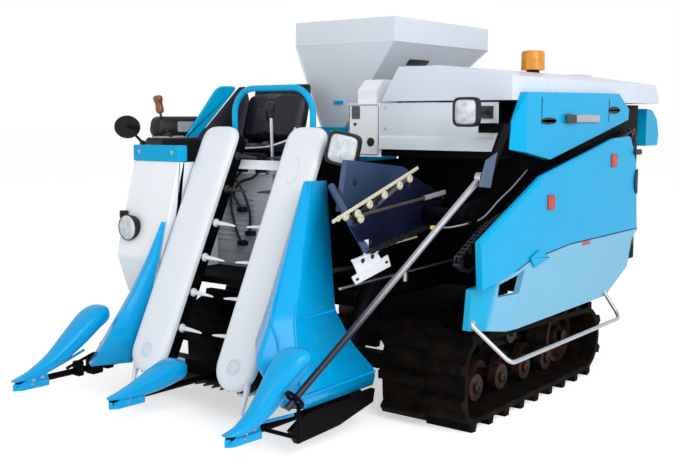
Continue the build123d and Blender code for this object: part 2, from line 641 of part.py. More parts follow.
def panel_post():
    """The post on the thresher with a pin and two lugs at each of the side panel's knuckles."""
    y_post = panel_hinge_y - hinge_knuckle_radius - overrun
    x_span = (panel_hinge_x - panel, panel_hinge_x + panel)
    z_low, z_high = hinge_zs[0] - hinge_knuckle_length, hinge_zs[1] + hinge_knuckle_length
    pieces = []
    for z in (z_low, z_high - panel):
        pieces.append(block(x_span, (thresher_left_y + seat_gap, y_post), (z, z + panel)))
    for z in hinge_zs:
        half = hinge_knuckle_length / 2 + seat_gap
        pieces.append(Pos(panel_hinge_x, panel_hinge_y, z) * Cylinder(hinge_pin_radius, 2 * (half + sheet)))
        for lug_z in (z - half - sheet, z + half):
            pieces.append(block((panel_hinge_x - hinge_knuckle_radius, panel_hinge_x + hinge_knuckle_radius),
                                (y_post - sheet, panel_hinge_y + hinge_pin_radius), (lug_z, lug_z + sheet)))
    post = block(x_span, (y_post - sheet, y_post), (z_low, z_high))
    return post.fuse(*pieces)


def guard_rod():
    """The thin rod that stands off the skirt's lower edge and guards the track."""
    y_face = lower_plane_y + lower_thickness
    front_x, front_z = skirt_outline["front low"]
    rear_x, rear_z = skirt_outline["low rear"]
    foot_share = (front_x - panel - skirt_bend_x) / (front_x + overrun - skirt_bend_x)
    route = [(front_x - panel, y_face - skirt_bend_set * foot_share, front_z + panel),
             (guard_rod_front_x, guard_rod_y, guard_rod_z),
             (guard_rod_rear_x, guard_rod_y, guard_rod_z), (rear_x + panel, y_face, rear_z + panel)]
    return bent_rod(route, guard_rod_radius, guard_rod_bend) - Pos(0, seat_gap, 0) * side_skirt()


def chain_loop_face():
    """The area inside the feed chain: a bent upper run and a lower run under it."""
    run = [(chain_low_x, chain_low_z), (chain_turn_x, chain_turn_z), (chain_end_x, chain_end_z)]
    back = [(chain_end_x, chain_end_z - chain_depth), (chain_turn_x - chain_depth / 2, chain_turn_z - chain_depth),
            (chain_low_x - chain_depth, chain_low_z - chain_depth / 2)]
    return make_face(Polyline(*run, *back, close=True))


def feed_chain():
    """The toothed chain that carries the straw's foot along the thresher."""
    y_low = chain_y - chain_width / 2
    to_world = Plane(origin=(0, y_low, 0), x_dir=(1, 0, 0), z_dir=(0, -1, 0))
    outer = chain_loop_face()
    band = outer - offset(outer, amount=-chain_thickness)
    chain = extrude(to_world * band, amount=-chain_width)
    start, turn, end = [Vector(x, z) for x, z in ((chain_low_x, chain_low_z), (chain_turn_x, chain_turn_z),
                                                  (chain_end_x, chain_end_z))]
    teeth = []
    for near, far in ((start, turn), (turn, end)):
        along = (far - near).normalized()
        away = Vector(along.Y, -along.X) * (1 if along.X < 0 else -1)
        count = int((far - near).length // chain_tooth_pitch)
        for i in range(count):
            foot = near + along * ((i + 0.5) * chain_tooth_pitch)
            corners = [foot - along * chain_tooth_length / 2 - away * chain_thickness / 2,
                       foot + along * chain_tooth_length / 2 - away * chain_thickness / 2,
                       foot + along * chain_tooth_length / 2 + away * chain_tooth_height]
            teeth.append(slab_y([(p.X, p.Y) for p in corners], y_low, y_low + chain_width))
    return chain.fuse(*teeth)


def feed_chain_rail():
    """The guide that fills the feed chain's loop and bolts to the thresher's side."""
    to_world = Plane(origin=(0, thresher_left_y, 0), x_dir=(1, 0, 0), z_dir=(0, -1, 0))
    guide = offset(chain_loop_face(), amount=-(chain_thickness + seat_gap))
    reach = chain_y + chain_width / 2 - thresher_left_y
    return extrude(to_world * guide, amount=-reach)


def straw_outlet():
    """The box behind the thresher that lets the straw out, open underneath."""
    box = block((outlet_rear_x, thresher_rear_x - seat_gap), (outlet_right_y, outlet_left_y),
                (outlet_low_z, outlet_top_z))
    room = block((outlet_rear_x + panel, thresher_rear_x - panel), (outlet_right_y + panel, outlet_left_y - panel),
                 (outlet_low_z - overrun, outlet_top_z - panel))
    return box - room


def hood_outline(inset):
    """The hood's side view: a top that curves over and down to a lip, drawn in by a wall."""
    front_x = hood_hinge_x - hood_knuckle_radius
    drop, reach = hood_hinge_z - hood_low_z, front_x - hood_rear_x
    low_z = hood_low_z - (overrun if inset else 0)
    top_z = hood_hinge_z + hood_pin_radius - inset
    form = hood_form_shares
    return [(front_x - inset, top_z), (front_x - reach * form["brow run"], top_z - drop * form["brow drop"]),
            (front_x - reach * form["bend run"] + inset / 2, top_z - drop * form["bend drop"]),
            (hood_rear_x + inset, low_z + drop * form["lip"]),
            (hood_rear_x + inset + hood_wall, low_z), (front_x - inset, low_z)]


def straw_hood():
    """The blue hood hinged over the outlet's rear, open underneath, on two bored knuckles."""
    shell = slab_y(hood_outline(0), hood_right_y, hood_left_y)
    shell -= slab_y(hood_outline(hood_wall), hood_right_y + hood_wall, hood_left_y - hood_wall)
    for y in hood_knuckle_ys:
        shell += disc_y(hood_hinge_x, hood_hinge_z, y, y + hood_knuckle_length, hood_knuckle_radius)
        shell += block((hood_hinge_x - hood_knuckle_radius - hood_wall, hood_hinge_x), (y, y + hood_knuckle_length),
                       (hood_hinge_z - hood_pin_radius - hood_wall / 2, hood_hinge_z + hood_pin_radius))
        shell -= disc_y(hood_hinge_x, hood_hinge_z, y - overrun, y + hood_knuckle_length + overrun,
                        hood_pin_radius + pivot_clearance)
    return shell


def hood_pin():
    """The hood's hinge pins, each between two lugs that stand off the outlet's rear wall."""
    pieces = []
    for y in hood_knuckle_ys:
        ends = (y - sheet - seat_gap, y + hood_knuckle_length + sheet + seat_gap)
        pin = disc_y(hood_hinge_x, hood_hinge_z, *ends, hood_pin_radius)
        for lug_y in (ends[0], ends[1] - sheet):
            pin += block((hood_hinge_x, outlet_rear_x - seat_gap), (lug_y, lug_y + sheet),
                         (hood_hinge_z - 2 * panel, hood_hinge_z + hood_pin_radius))
        pieces.append(pin)
    return Compound(children=pieces)


def hinge_pins():
    """The pins of the drum cover and of the straw hood with their lugs."""
    return Compound(children=[cover_pin(), hood_pin()])


def hopper_solid(inset, top_extra):
    """The hopper's form: an upright band over a foot-ward taper, drawn in by a wall."""
    wide = [(tank_front_x - inset, tank_right_y + inset), (tank_front_x - inset, tank_left_y - inset),
            (tank_rear_x + inset, tank_left_y - inset), (tank_rear_x + inset, tank_right_y + inset)]
    foot = [(tank_foot_front_x - inset, tank_foot_right_y + inset), (tank_foot_front_x - inset, tank_foot_left_y - inset),
            (tank_foot_rear_x + inset, tank_foot_left_y - inset), (tank_foot_rear_x + inset, tank_foot_right_y + inset)]
    band = slab_z(wide, tank_band_z, tank_top_z + top_extra)
    faces = [make_face(Polyline(*[(x, y, z) for x, y in ring], close=True))
             for ring, z in ((foot, tank_foot_z + inset), (wide, tank_band_z))]
    return band + loft(faces, ruled=True)


def grain_tank():
    """The open-topped grain hopper with sloping floors."""
    return hopper_solid(0, 0) - hopper_solid(tank_wall, overrun)


def tank_outlet():
    """The blue bolted flange under the hopper and its two bagging spouts."""
    flange = block((tank_foot_rear_x - flange_margin, tank_foot_front_x + flange_margin),
                   (tank_foot_right_y - flange_margin, tank_foot_left_y + flange_margin),
                   (tank_foot_z - seat_gap - flange_height, tank_foot_z - seat_gap))
    middle_y = (tank_foot_right_y + tank_foot_left_y) / 2
    spouts = []
    for x in spout_xs:
        spout_top = tank_foot_z - flange_height
        spout = block((x - spout_length / 2, x + spout_length / 2),
                      (middle_y - spout_width / 2, middle_y + spout_width / 2),
                      (spout_top - spout_height, spout_top))
        bore = block((x - spout_length / 2 + sheet, x + spout_length / 2 - sheet),
                     (middle_y - spout_width / 2 + sheet, middle_y + spout_width / 2 - sheet),
                     (spout_top - spout_height - overrun, spout_top - flange_height))
        spouts.append(spout - bore)
    return flange.fuse(*spouts)


def tank_legs():
    """Two legs that stand through the bagging deck's inner edge and carry the hopper's flange."""
    top_z = tank_foot_z - seat_gap - flange_height - seat_gap
    legs = []
    for x in (tank_foot_front_x, tank_foot_rear_x):
        legs.append(block((x - panel, x + panel), (tank_foot_left_y - panel, -rail_y + panel),
                          (rail_z + rail_height - overrun, top_z)))
    return legs


def decks():
    """The operator's floor plate and the narrower bagging deck behind it."""
    floor = block((deck_rear_x, deck_front_x), (deck_right_y, deck_left_y), (deck_z, deck_z + deck_thickness))
    return floor + block((bag_deck_rear_x, deck_rear_x), (deck_right_y, bag_deck_left_y),
                         (deck_z, deck_z + deck_thickness))


def cylinder_clevis():
    """Two cheeks under the chassis' front tie with the pin that holds the cylinder's foot."""
    pin_half = eye_width / 2 + 2 * seat_gap + sheet
    pieces = [disc_y(cylinder_foot_x, cylinder_foot_z, cylinder_y - pin_half, cylinder_y + pin_half,
                     eye_pin_radius)]
    for side in (-1, 1):
        y_in = cylinder_y + side * (eye_width / 2 + 2 * seat_gap)
        pieces.append(slab_y([(cylinder_foot_x - eye_radius, rail_z + overrun),
                              (cylinder_foot_x + eye_radius, rail_z + overrun),
                              (cylinder_foot_x + eye_radius, cylinder_foot_z - eye_radius),
                              (cylinder_foot_x - eye_radius, cylinder_foot_z - eye_radius)],
                             y_in, y_in + side * sheet))
    return pieces


def outriggers():
    """Bars from the chassis out under the decks."""
    bars = []
    for x in (rail_front_x - panel, deck_rear_x + 3 * panel, bag_deck_rear_x + 3 * panel):
        bars.append(block((x - panel, x + panel), (deck_right_y + 2 * panel, -rail_y),
                          (rail_z + rail_height - overrun, deck_z - seat_gap)))
    return bars


def bag_rail():
    """The tube rail round the bagging deck."""
    low, top = deck_z + deck_thickness, deck_z + deck_thickness + bag_rail_height
    y = deck_right_y + 2 * panel
    route = [(bag_deck_rear_x + 2 * panel, y, low), (bag_deck_rear_x + 2 * panel, y, top),
             (deck_rear_x - 4 * panel, y, top), (deck_rear_x - 4 * panel, y, low)]
    return bent_rod(route, arch_radius, bag_rail_bend)


def front_wall_panel():
    """The white front wall of the operator's place, folded at its crease and chin."""
    shape = front_wall_shape
    outer = [shape["top"], shape["crease"], shape["corner"], shape["chin"], shape["inner chin"]]
    inner = [(shape["inner low"][0], shape["inner low"][1]),
             (shape["corner"][0] - 2 * front_wall, shape["corner"][1]),
             (shape["crease"][0] - front_wall, shape["crease"][1]),
             (shape["top"][0] - front_wall, shape["top"][1])]
    return slab_y(outer + inner, front_wall_right_y, front_wall_left_y)


def front_strip():
    """The blue strip that caps the front wall."""
    return block((strip_front_x - strip_depth, strip_front_x), (front_wall_right_y, front_wall_left_y),
                 (strip_low_z, strip_top_z))


def console():
    """The side console with its raised arm rest, standing on the floor."""
    outline = [(console_rear_x, console_low_z), (strip_front_x - strip_depth - seat_gap, console_low_z),
               (strip_front_x - strip_depth - seat_gap, console_top_z - console_arm_height),
               (strip_front_x - strip_depth - panel, console_top_z), (console_rear_x, console_top_z)]
    top = slab_y(outline, console_right_y, console_left_y)
    skirt_wall = block((console_rear_x, strip_front_x - strip_depth - seat_gap),
                       (console_right_y, console_right_y + panel), (deck_z + deck_thickness, console_low_z + overrun))
    return fillet(top.edges().filter_by(Axis.X), sheet) + skirt_wall


def headlamp():
    """The round lamp on the front wall: a bowl, a rim and a clear face."""
    fold = front_wall_shape
    share = (fold["crease"][1] - lamp_z) / (fold["crease"][1] - fold["corner"][1])
    wall_x = fold["crease"][0] + share * (fold["corner"][0] - fold["crease"][0])
    face_x = wall_x + lamp_depth * lamp_stand_share
    body = rod((wall_x - panel / 2, lamp_y, lamp_z), (face_x, lamp_y, lamp_z), lamp_radius * lamp_bowl_share)
    rim = rod((face_x - sheet, lamp_y, lamp_z), (face_x, lamp_y, lamp_z), lamp_radius)
    whole = body + rim
    cut = slab_y([fold["crease"], fold["corner"], (fold["corner"][0] - lamp_depth, fold["corner"][1]),
                  (fold["crease"][0] - lamp_depth * 2, fold["crease"][1])],
                 lamp_y - lamp_radius * 2, lamp_y + lamp_radius * 2)
    return whole - Pos(seat_gap, 0, 0) * cut


def mirror():
    """The round mirror on its bent arm, fixed to the strip's outer end."""
    foot = (strip_front_x - strip_depth / 2, front_wall_right_y + 2 * panel, strip_top_z - panel)
    behind = (mirror_x - mirror_depth - panel, mirror_y, mirror_z)
    dish = rod((mirror_x - mirror_depth, mirror_y, mirror_z), (mirror_x, mirror_y, mirror_z), mirror_radius)
    dish = fillet(dish.edges().filter_by(GeomType.CIRCLE).group_by(Axis.X)[0], mirror_depth / 2)
    arm = rod(foot, behind, mirror_arm_radius) + rod(behind, (mirror_x - mirror_depth / 2, mirror_y, mirror_z),
                                                     mirror_arm_radius)
    below = block((0, mirror_x), (front_wall_right_y, front_wall_left_y), (strip_low_z, strip_top_z + seat_gap))
    return arm + Pos(*behind) * Sphere(mirror_arm_radius) + dish - below


def seat():
    """The bucket seat: a cushion and a leaning back in one moulding."""
    outline = [(seat_front_x, seat_cushion_z - panel), (seat_front_x - panel, seat_low_z),
               (seat_back_x + seat_back_lean, seat_low_z), (seat_back_x, seat_top_z - panel),
               (seat_back_x + panel, seat_top_z), (seat_back_x + seat_back_thickness - panel, seat_top_z),
               (seat_back_x + seat_back_thickness, seat_top_z - panel),
               (seat_back_x + seat_back_lean + seat_back_thickness, seat_cushion_z),
               (seat_front_x - panel, seat_cushion_z)]
    return slab_y(outline, seat_right_y, seat_left_y)


def engine_hood():
    """The cover over the engine that the seat stands on, open underneath."""
    spans = ((hood_back_x, hood_front_x), (engine_hood_right_y, engine_hood_left_y),
             (deck_z + deck_thickness, engine_hood_top_z))
    box = block(*spans)
    room = block((hood_back_x + panel, hood_front_x - panel),
                 (engine_hood_right_y + panel, engine_hood_left_y - panel),
                 (deck_z, engine_hood_top_z - panel))
    mount = block((hood_back_x + 4 * panel + seat_back_lean, hood_front_x - 2 * panel),
                  (seat_right_y + 2 * panel, seat_left_y - 2 * panel),
                  (engine_hood_top_z - overrun, engine_hood_top_z + seat_mount_height - seat_gap))
    return box - room + mount


def engine():
    """The engine as one plain block at its real place and size."""
    return block((engine_x - engine_length / 2, engine_x + engine_length / 2),
                 (engine_y - engine_breadth / 2, engine_y + engine_breadth / 2),
                 (deck_z + deck_thickness, engine_z + engine_height / 2))


def arch_guard():
    """The blue arch tube that ties the two pick-up cases' tops together."""
    route = [(arch_x, arch_right_y, arch_foot_z), (arch_x, arch_right_y, arch_top_z),
             (arch_x, arch_left_y, arch_top_z), (arch_x, arch_left_y, arch_foot_z)]
    return bent_rod(route, arch_radius, arch_bend) - Pos(0, 0, seat_gap) * pickup_cases()


def side_guard():
    """The slanted blue plate from the console up beside the seat's back."""
    return slab_y(list(side_guard_outline.values()), side_guard_y - side_guard_thickness / 2,
                  side_guard_y + side_guard_thickness / 2)


def control_levers():
    """The shift lever on the console and the lift lever on the engine's hood, each with its grip."""
    levers = []
    for x, y, z, lean, height in lever_table.values():
        top = (x + lean, y, z + height)
        stem = rod((x, y, z + lever_radius * lean / height), top, lever_radius)
        run = Vector(lean, 0, height).normalized() * lever_grip_length
        grip = rod((top[0] - run.X, y, top[2] - run.Z), top, lever_grip_radius)
        levers.append(stem + grip + Pos(*top) * Sphere(lever_knob_radius))
    return Compound(children=levers)


def pivot_ears():
    """Two plates on the thresher's throat that carry the header's pivot tube."""
    plates = []
    for y in pivot_wall_ys.values():
        plate = slab_y([(throat_x, pivot_z - 2 * pivot_ear_radius), (pivot_x, pivot_z - pivot_ear_radius),
                        (pivot_x, pivot_z + pivot_ear_radius), (throat_x, pivot_z + 2 * pivot_ear_radius)],
                       y, y + pivot_ear_thickness)
        plate += disc_y(pivot_x, pivot_z, y, y + pivot_ear_thickness, pivot_ear_radius)
        plate -= disc_y(pivot_x, pivot_z, y - overrun, y + pivot_ear_thickness + overrun,
                        pivot_radius + pivot_clearance)
        plates.append(plate)
    return Compound(children=plates)


def header_frame():
    """The header's pivot tube, two arms and toe beam with its plate, the dividers' tubes, the clevis
    of the lift cylinder and the ring that the side pole's foot slides in."""
    tube = disc_y(pivot_x, pivot_z, arm_ys[0] - arm_radius - panel,
                  pivot_wall_ys["left"] + pivot_ear_thickness + panel, pivot_radius)
    pieces = []
    for y in arm_ys:
        pieces.append(rod((pivot_x, y, pivot_z), (arm_foot_x, y, arm_foot_z), arm_radius))
        pieces.append(block((arm_foot_x - arm_radius, arm_foot_x + arm_radius), (y - arm_radius, y + arm_radius),
                            (toe_beam_z, arm_foot_z + arm_radius)))
    pieces.append(block((toe_beam_x - toe_beam_depth / 2, toe_beam_x + toe_beam_depth / 2),
                        (toe_right_y, toe_left_y), (toe_beam_z - toe_beam_height / 2, toe_beam_z + toe_beam_height / 2)))
    for side in (-1, 1):
        y_in = cylinder_y + side * (eye_width / 2 + 2 * seat_gap)
        cheek = slab_y([(toe_beam_x - toe_beam_depth / 2, toe_beam_z), (toe_beam_x + toe_beam_depth / 2, toe_beam_z),
                        (cylinder_eye_x + eye_radius, cylinder_eye_z), (cylinder_eye_x, cylinder_eye_z + eye_radius),
                        (cylinder_eye_x - eye_radius, cylinder_eye_z)], y_in, y_in + side * sheet)
        pieces.append(cheek)
    pin_half = eye_width / 2 + 2 * seat_gap + sheet
    pieces.append(disc_y(cylinder_eye_x, cylinder_eye_z, cylinder_y - pin_half, cylinder_y + pin_half, eye_pin_radius))
    pieces += [divider_tube(name) for name in divider_table]
    pieces.append(slab_y(list(toe_plate_outline.values()), toe_left_y - toe_plate_thickness, toe_left_y))
    return tube.fuse(*pieces, *pole_eye())


cylinder_run = Vector(cylinder_eye_x - cylinder_foot_x, 0, cylinder_eye_z - cylinder_foot_z)
cylinder_along = cylinder_run.normalized()
cylinder_foot = Vector(cylinder_foot_x, cylinder_y, cylinder_foot_z)
cylinder_eye = Vector(cylinder_eye_x, cylinder_y, cylinder_eye_z)
barrel_length = barrel_share * cylinder_run.length


def lift_barrel():
    """The lift cylinder's barrel with its foot eye, bored for the rod."""
    start = cylinder_foot + cylinder_along * (2 * eye_radius)
    mouth = cylinder_foot + cylinder_along * barrel_length
    barrel = rod(tuple(start), tuple(mouth), barrel_radius)
    barrel += rod(tuple(cylinder_foot + cylinder_along * (eye_radius / 2)), tuple(start), neck_radius)
    barrel += disc_y(cylinder_foot_x, cylinder_foot_z, cylinder_y - eye_width / 2, cylinder_y + eye_width / 2,
                     eye_radius)
    bore_start = cylinder_foot + cylinder_along * (2 * eye_radius + sheet)
    bore_end = mouth + cylinder_along * overrun
    barrel -= rod(tuple(bore_start), tuple(bore_end), rod_radius + pivot_clearance)
    return barrel - disc_y(cylinder_foot_x, cylinder_foot_z, cylinder_y - eye_width, cylinder_y + eye_width,
                           eye_pin_radius + pivot_clearance)


def lift_rod():
    """The cylinder's rod with its eye, which has room to drift round the header's pin."""
    start = cylinder_foot + cylinder_along * (2 * eye_radius + 4 * sheet + overrun)
    stem = rod(tuple(start), tuple(cylinder_eye - cylinder_along * (eye_radius / 2)), rod_radius)
    stem += disc_y(cylinder_eye_x, cylinder_eye_z, cylinder_y - eye_width / 2, cylinder_y + eye_width / 2,
                   eye_radius)
    return stem - disc_y(cylinder_eye_x, cylinder_eye_z, cylinder_y - eye_width, cylinder_y + eye_width,
                         eye_pin_radius + overrun)


case_run = Vector(case_top_x - case_foot_x, 0, case_top_z - case_foot_z)
case_along = case_run.normalized()
case_front = Vector(case_along.Z, 0, -case_along.X)
case_back_foot = Vector(case_foot_x, 0, case_foot_z) - case_front * case_depth


def case_back_x(z):
    """Where the back plane of the leaning cases lies at a height."""
    return case_back_foot.X + (z - case_back_foot.Z) * case_along.X / case_along.Z


def case_plane(side):
    """The plane of one pick-up case's front face, with its local y up the case."""
    return Plane(origin=(case_foot_x, case_ys[side], case_foot_z), x_dir=(0, 1, 0), z_dir=case_front)


def pickup_case(side):
    """A leaning pick-up case with a round foot and soft corners."""
    plane = case_plane(side)
    half = case_width / 2
    foot = Pos(0, half) * Circle(half)
    body = Pos(0, (case_run.length + half) / 2) * Rectangle(case_width, case_run.length - half)
    crown = case_corner_share * case_width
    outline = foot + body
    outline = fillet(outline.vertices().group_by(Axis.Y)[-1], crown)
    solid = extrude(plane * outline, amount=-case_depth)
    front_edges = [edge for edge in solid.edges()
                   if abs((edge.center() - plane.origin).dot(plane.z_dir)) < seat_gap]
    return fillet(front_edges, case_edge_round)


def pickup_cases():
    """Both pick-up cases."""
    return Compound(children=[pickup_case(side) for side in case_ys])


def pickup_tines():
    """Curved white tines that stand out of the cases' sides towards the rows."""
    tines = []
    for side, turn in (("right", 1), ("left", -1)):
        plane = case_plane(side)
        for share in tine_shares:
            up = share * case_run.length + case_width / 2
            depth = -case_depth * tine_depth_share
            root_a = (turn * case_width / 2, up - tine_root / 2)
            root_b = (turn * case_width / 2, up + tine_root / 2)
            tip = turn * (case_width / 2 + tine_length)
            corners = [root_a, root_b, (tip, up - tine_droop + tine_tip / 2), (tip, up - tine_droop - tine_tip / 2)]
            face = make_face(Polyline(*corners, close=True))
            tines.append(extrude(Plane(origin=plane.origin + plane.z_dir * depth, x_dir=plane.x_dir,
                                       z_dir=plane.z_dir) * face, amount=-tine_tip))
    return Compound(children=tines)


def case_carriers():
    """A bracket at each case's foot on the toe beam, and the bar between the cases' upper backs."""
    front_x = toe_beam_x + toe_beam_depth / 2 + seat_gap
    feet = (toe_beam_z - toe_beam_height / 2 + overrun, toe_beam_z + toe_beam_height / 2)
    bar = (arch_bar_z - panel, arch_bar_z + panel)
    spans = [(front_x, feet, y - panel, y + panel) for y in case_ys.values()]
    spans.append((case_back_x(bar[1]) - arch_bar_depth, bar, case_ys["right"] - 2 * panel,
                  case_ys["left"] + 2 * panel))
    return Compound(children=[
        slab_y([(rear_x, low_z), (case_back_x(low_z) - seat_gap, low_z),
                (case_back_x(high_z) - seat_gap, high_z), (rear_x, high_z)], y_from, y_to)
        for rear_x, (low_z, high_z), y_from, y_to in spans])


def divider_point(name, way_share):
    """A point on the straight line from a divider's tip to its heel, seen from above."""
    tip_y, heel_y, tip_x, _, heel_x = divider_table[name]
    return tip_x - (tip_x - heel_x) * way_share, tip_y + (heel_y - tip_y) * way_share


def divider_tube(name):
    """The tube under a divider, from the toe beam to just behind its tip."""
    end_x, end_y = divider_point(name, divider_tube_end_share)
    start = (toe_beam_x, divider_table[name][0], divider_tube_z)
    return rod(start, (end_x, end_y, divider_tube_end_z), divider_tube_radius)


def divider(name):
    """A crop divider: a horn of oval rings that sweeps up from its tip and closes in a blunt heel."""
    heel_z = divider_table[name][3]
    first_z = divider_tip_z + divider_ring_shares[0][3] * divider_half_height
    rise = heel_z - divider_half_height - first_z
    centres = []
    for way, lift, _, _ in divider_ring_shares:
        x, y = divider_point(name, way)
        centres.append(Vector(x, y, first_z + lift * rise))
    rings = []
    for i, (_, _, wide, high) in enumerate(divider_ring_shares):
        ahead, behind = centres[max(i - 1, 0)], centres[min(i + 1, len(centres) - 1)]
        along = behind - ahead if i else Vector(-1, 0, 0)
        plane = Plane(origin=centres[i], x_dir=(0, 1, 0), z_dir=Vector(along.X, 0, along.Z))
        rings.append(plane * Ellipse(wide * divider_half_width, high * divider_half_height))
    horn = loft(rings, ruled=True)
    return horn - Pos(0, 0, seat_gap) * divider_tube(name)


def crop_dividers():
    """The three dividers."""
    return Compound(children=[divider(name) for name in divider_table])


def knife():
    """The cutter bar with a row of pointed teeth."""
    top_z = toe_beam_z - toe_beam_height / 2 - seat_gap
    count = int((knife_left_y - knife_right_y) // knife_tooth_pitch)
    start = (knife_right_y + knife_left_y - count * knife_tooth_pitch) / 2
    back_x = toe_beam_x - toe_beam_depth / 2
    outline = [(back_x, start), (knife_x, start)]
    for i in range(count):
        left = start + i * knife_tooth_pitch
        outline.append((knife_x + knife_tooth_length, left + knife_tooth_pitch / 2))
        outline.append((knife_x, left + knife_tooth_pitch))
    outline.append((back_x, start + count * knife_tooth_pitch))
    return slab_z(outline, top_z - knife_thickness, top_z)


def header_cover(sections, inner_y):
    """A flaring cover lofted through four-cornered levels, open behind, below and inwards."""
    faces = []
    for height, rear_x, rear_y, crease_x, crease_y, nose_x, nose_y, inner_x in sections.values():
        ring = [(rear_x, rear_y, height), (crease_x, crease_y, height), (nose_x, nose_y, height),
                (inner_x, inner_y, height)]
        faces.append(make_face(Polyline(*ring, close=True)))
    lofts = [loft([high, low], ruled=True) for high, low in zip(faces, faces[1:])]
    solid = lofts[0].fuse(*lofts[1:])
    outwards = cover_skin if inner_y > 0 else -cover_skin
    return solid - Pos(-cover_skin, -outwards, -cover_skin) * solid


def conveyor_plate(outline, y, leg):
    """A conveyor plate that hangs on the pivot tube."""
    plate = slab_y(list(outline.values()), y, y + plate_thickness)
    if leg:
        plate += slab_y([(pivot_x - pivot_ear_radius, pivot_z - pivot_ear_radius),
                         (pivot_x + pivot_ear_radius, pivot_z - pivot_ear_radius),
                         (pivot_x + 2 * pivot_ear_radius, outline["low rear"][1] + 2 * panel),
                         (pivot_x - pivot_ear_radius, outline["low rear"][1] + 2 * panel)], y, y + plate_thickness)
    return plate - disc_y(pivot_x, pivot_z, y - overrun, y + plate_thickness + overrun,
                          pivot_radius + pivot_clearance)


def star_wheels():
    """The pale star wheels that rake the straw up to the feed chain, on one bar."""
    half_step = math.pi / star_points
    front, rear = Vector(star_front_x, 0, star_front_z), Vector(star_rear_x, 0, star_rear_z)
    pieces = []
    for i in range(star_count):
        centre = front + (rear - front) * (i / (star_count - 1))
        outline = []
        for j in range(2 * star_points):
            radius = star_radius if j % 2 == 0 else star_radius * star_root_share
            outline.append((centre.X + radius * math.cos(j * half_step), centre.Z + radius * math.sin(j * half_step)))
        pieces.append(slab_y(outline, star_y, star_y + star_thickness))
        pieces.append(disc_y(centre.X, centre.Z, star_y - star_hub, star_y + star_hub, star_hub))
    run = (rear - front).normalized() * star_radius
    up = Vector(-run.Z, 0, run.X).normalized() * star_hub / 2
    a, b = front - run, rear + run
    pieces.append(slab_y([(a.X + up.X, a.Z + up.Z), (b.X + up.X, b.Z + up.Z), (b.X - up.X, b.Z - up.Z),
                          (a.X - up.X, a.Z - up.Z)], star_y - star_hub, star_y - star_hub / 2))
    return pieces[0].fuse(*pieces[1:])


def side_pole():
    """The crop pole: a straight tube with an eye at its upper end."""
    top = (pole_hinge_x, pole_hinge_y, pole_hinge_z)
    tube = rod(top, (pole_foot_x, pole_foot_y, pole_foot_z), pole_radius)
    tube += disc_y(pole_hinge_x, pole_hinge_z, pole_hinge_y - pole_radius, pole_hinge_y + pole_radius,
                   pole_boss_radius)
    return tube - disc_y(pole_hinge_x, pole_hinge_z, pole_hinge_y - 3 * pole_radius, pole_hinge_y + 3 * pole_radius,
                         pole_pin_radius + pivot_clearance)


def pole_bracket():
    """The dark bracket on the thresher's front corner, with the pole's hinge pin."""
    y_a = pole_hinge_y + pole_radius + overrun
    y_b = y_a + pole_bracket_thickness
    half = pole_bracket_width / 2
    top_x, top_z = pole_bracket_top_x, pole_bracket_top_z
    plate = slab_y([(pole_hinge_x - half, pole_hinge_z - half), (pole_hinge_x + half, pole_hinge_z),
                    (top_x + half, top_z + half), (top_x - half, top_z + half), (top_x - half, top_z - half)],
                   y_a, y_b)
    pin = disc_y(pole_hinge_x, pole_hinge_z, pole_hinge_y - pole_radius, y_b, pole_pin_radius)
    shoulder = block((top_x - half, top_x + half), (thresher_left_y - 2 * panel, y_b), (top_z - half, top_z + half))
    foot = block((thresher_front_x + sheet, top_x), (thresher_left_y - 2 * panel, thresher_left_y),
                 (top_z - half, top_z + half))
    return plate.fuse(pin, shoulder, foot)


def pole_eye():
    """The ring that the pole's foot slides in, on a bent stem from the left divider's tube."""
    foot, top = Vector(pole_foot_x, pole_foot_y, pole_foot_z), Vector(pole_hinge_x, pole_hinge_y, pole_hinge_z)
    along = (top - foot).normalized()
    centre = foot + along * (3 * pole_radius)
    plane = Plane(origin=centre, z_dir=along)
    hole = pole_radius + pole_eye_gap
    ring = extrude(plane * (Circle(hole + pole_eye_gap) - Circle(hole)), amount=pole_eye_thickness)
    down = Vector(-along.Z, 0, along.X).normalized() * (hole + pole_eye_gap / 2)
    rim = centre + along * (pole_eye_thickness / 2) + (down if down.Z < 0 else -down)
    knee = (rim.X, rim.Y, divider_tube_z)
    return [ring, rod(tuple(rim), knee, pole_eye_stem_radius), Pos(*knee) * Sphere(pole_eye_stem_radius),
            rod(knee, (rim.X, divider_table["left"][0], divider_tube_z), pole_eye_stem_radius)]


def work_lamp(place, stalk):
    """A square work lamp with rounded corners and a tapering back, on a stalk of straight runs."""
    half = work_lamp_size / 2
    x, y, z = place["x"], place["y"], place["z"]
    face = RectangleRounded(work_lamp_size, work_lamp_size, work_lamp_round)
    back = RectangleRounded(half, half, work_lamp_round / 2)
    front_plane = Plane(origin=(x, y, z), x_dir=(0, 1, 0), z_dir=(1, 0, 0))
    back_plane = Plane(origin=(x - work_lamp_depth / 2, y, z), x_dir=(0, 1, 0), z_dir=(1, 0, 0))
    lamp = extrude(front_plane * face, amount=work_lamp_depth / 2)
    lamp += loft([front_plane * face, back_plane * back], ruled=True)
    for start, end in zip(stalk, stalk[1:]):
        lamp += rod(start, end, lamp_stalk_radius)
        lamp += Pos(*start) * Sphere(lamp_stalk_radius)
    return lamp


def work_lamp_right():
    """The lamp on the thresher's front."""
    lamp = right_work_lamp
    back_x = lamp["x"] - work_lamp_depth / 4
    return work_lamp(lamp, [(back_x, lamp["y"], lamp["z"]),
                            (thresher_front_x + sheet + seat_gap, lamp["y"], lamp["z"])])


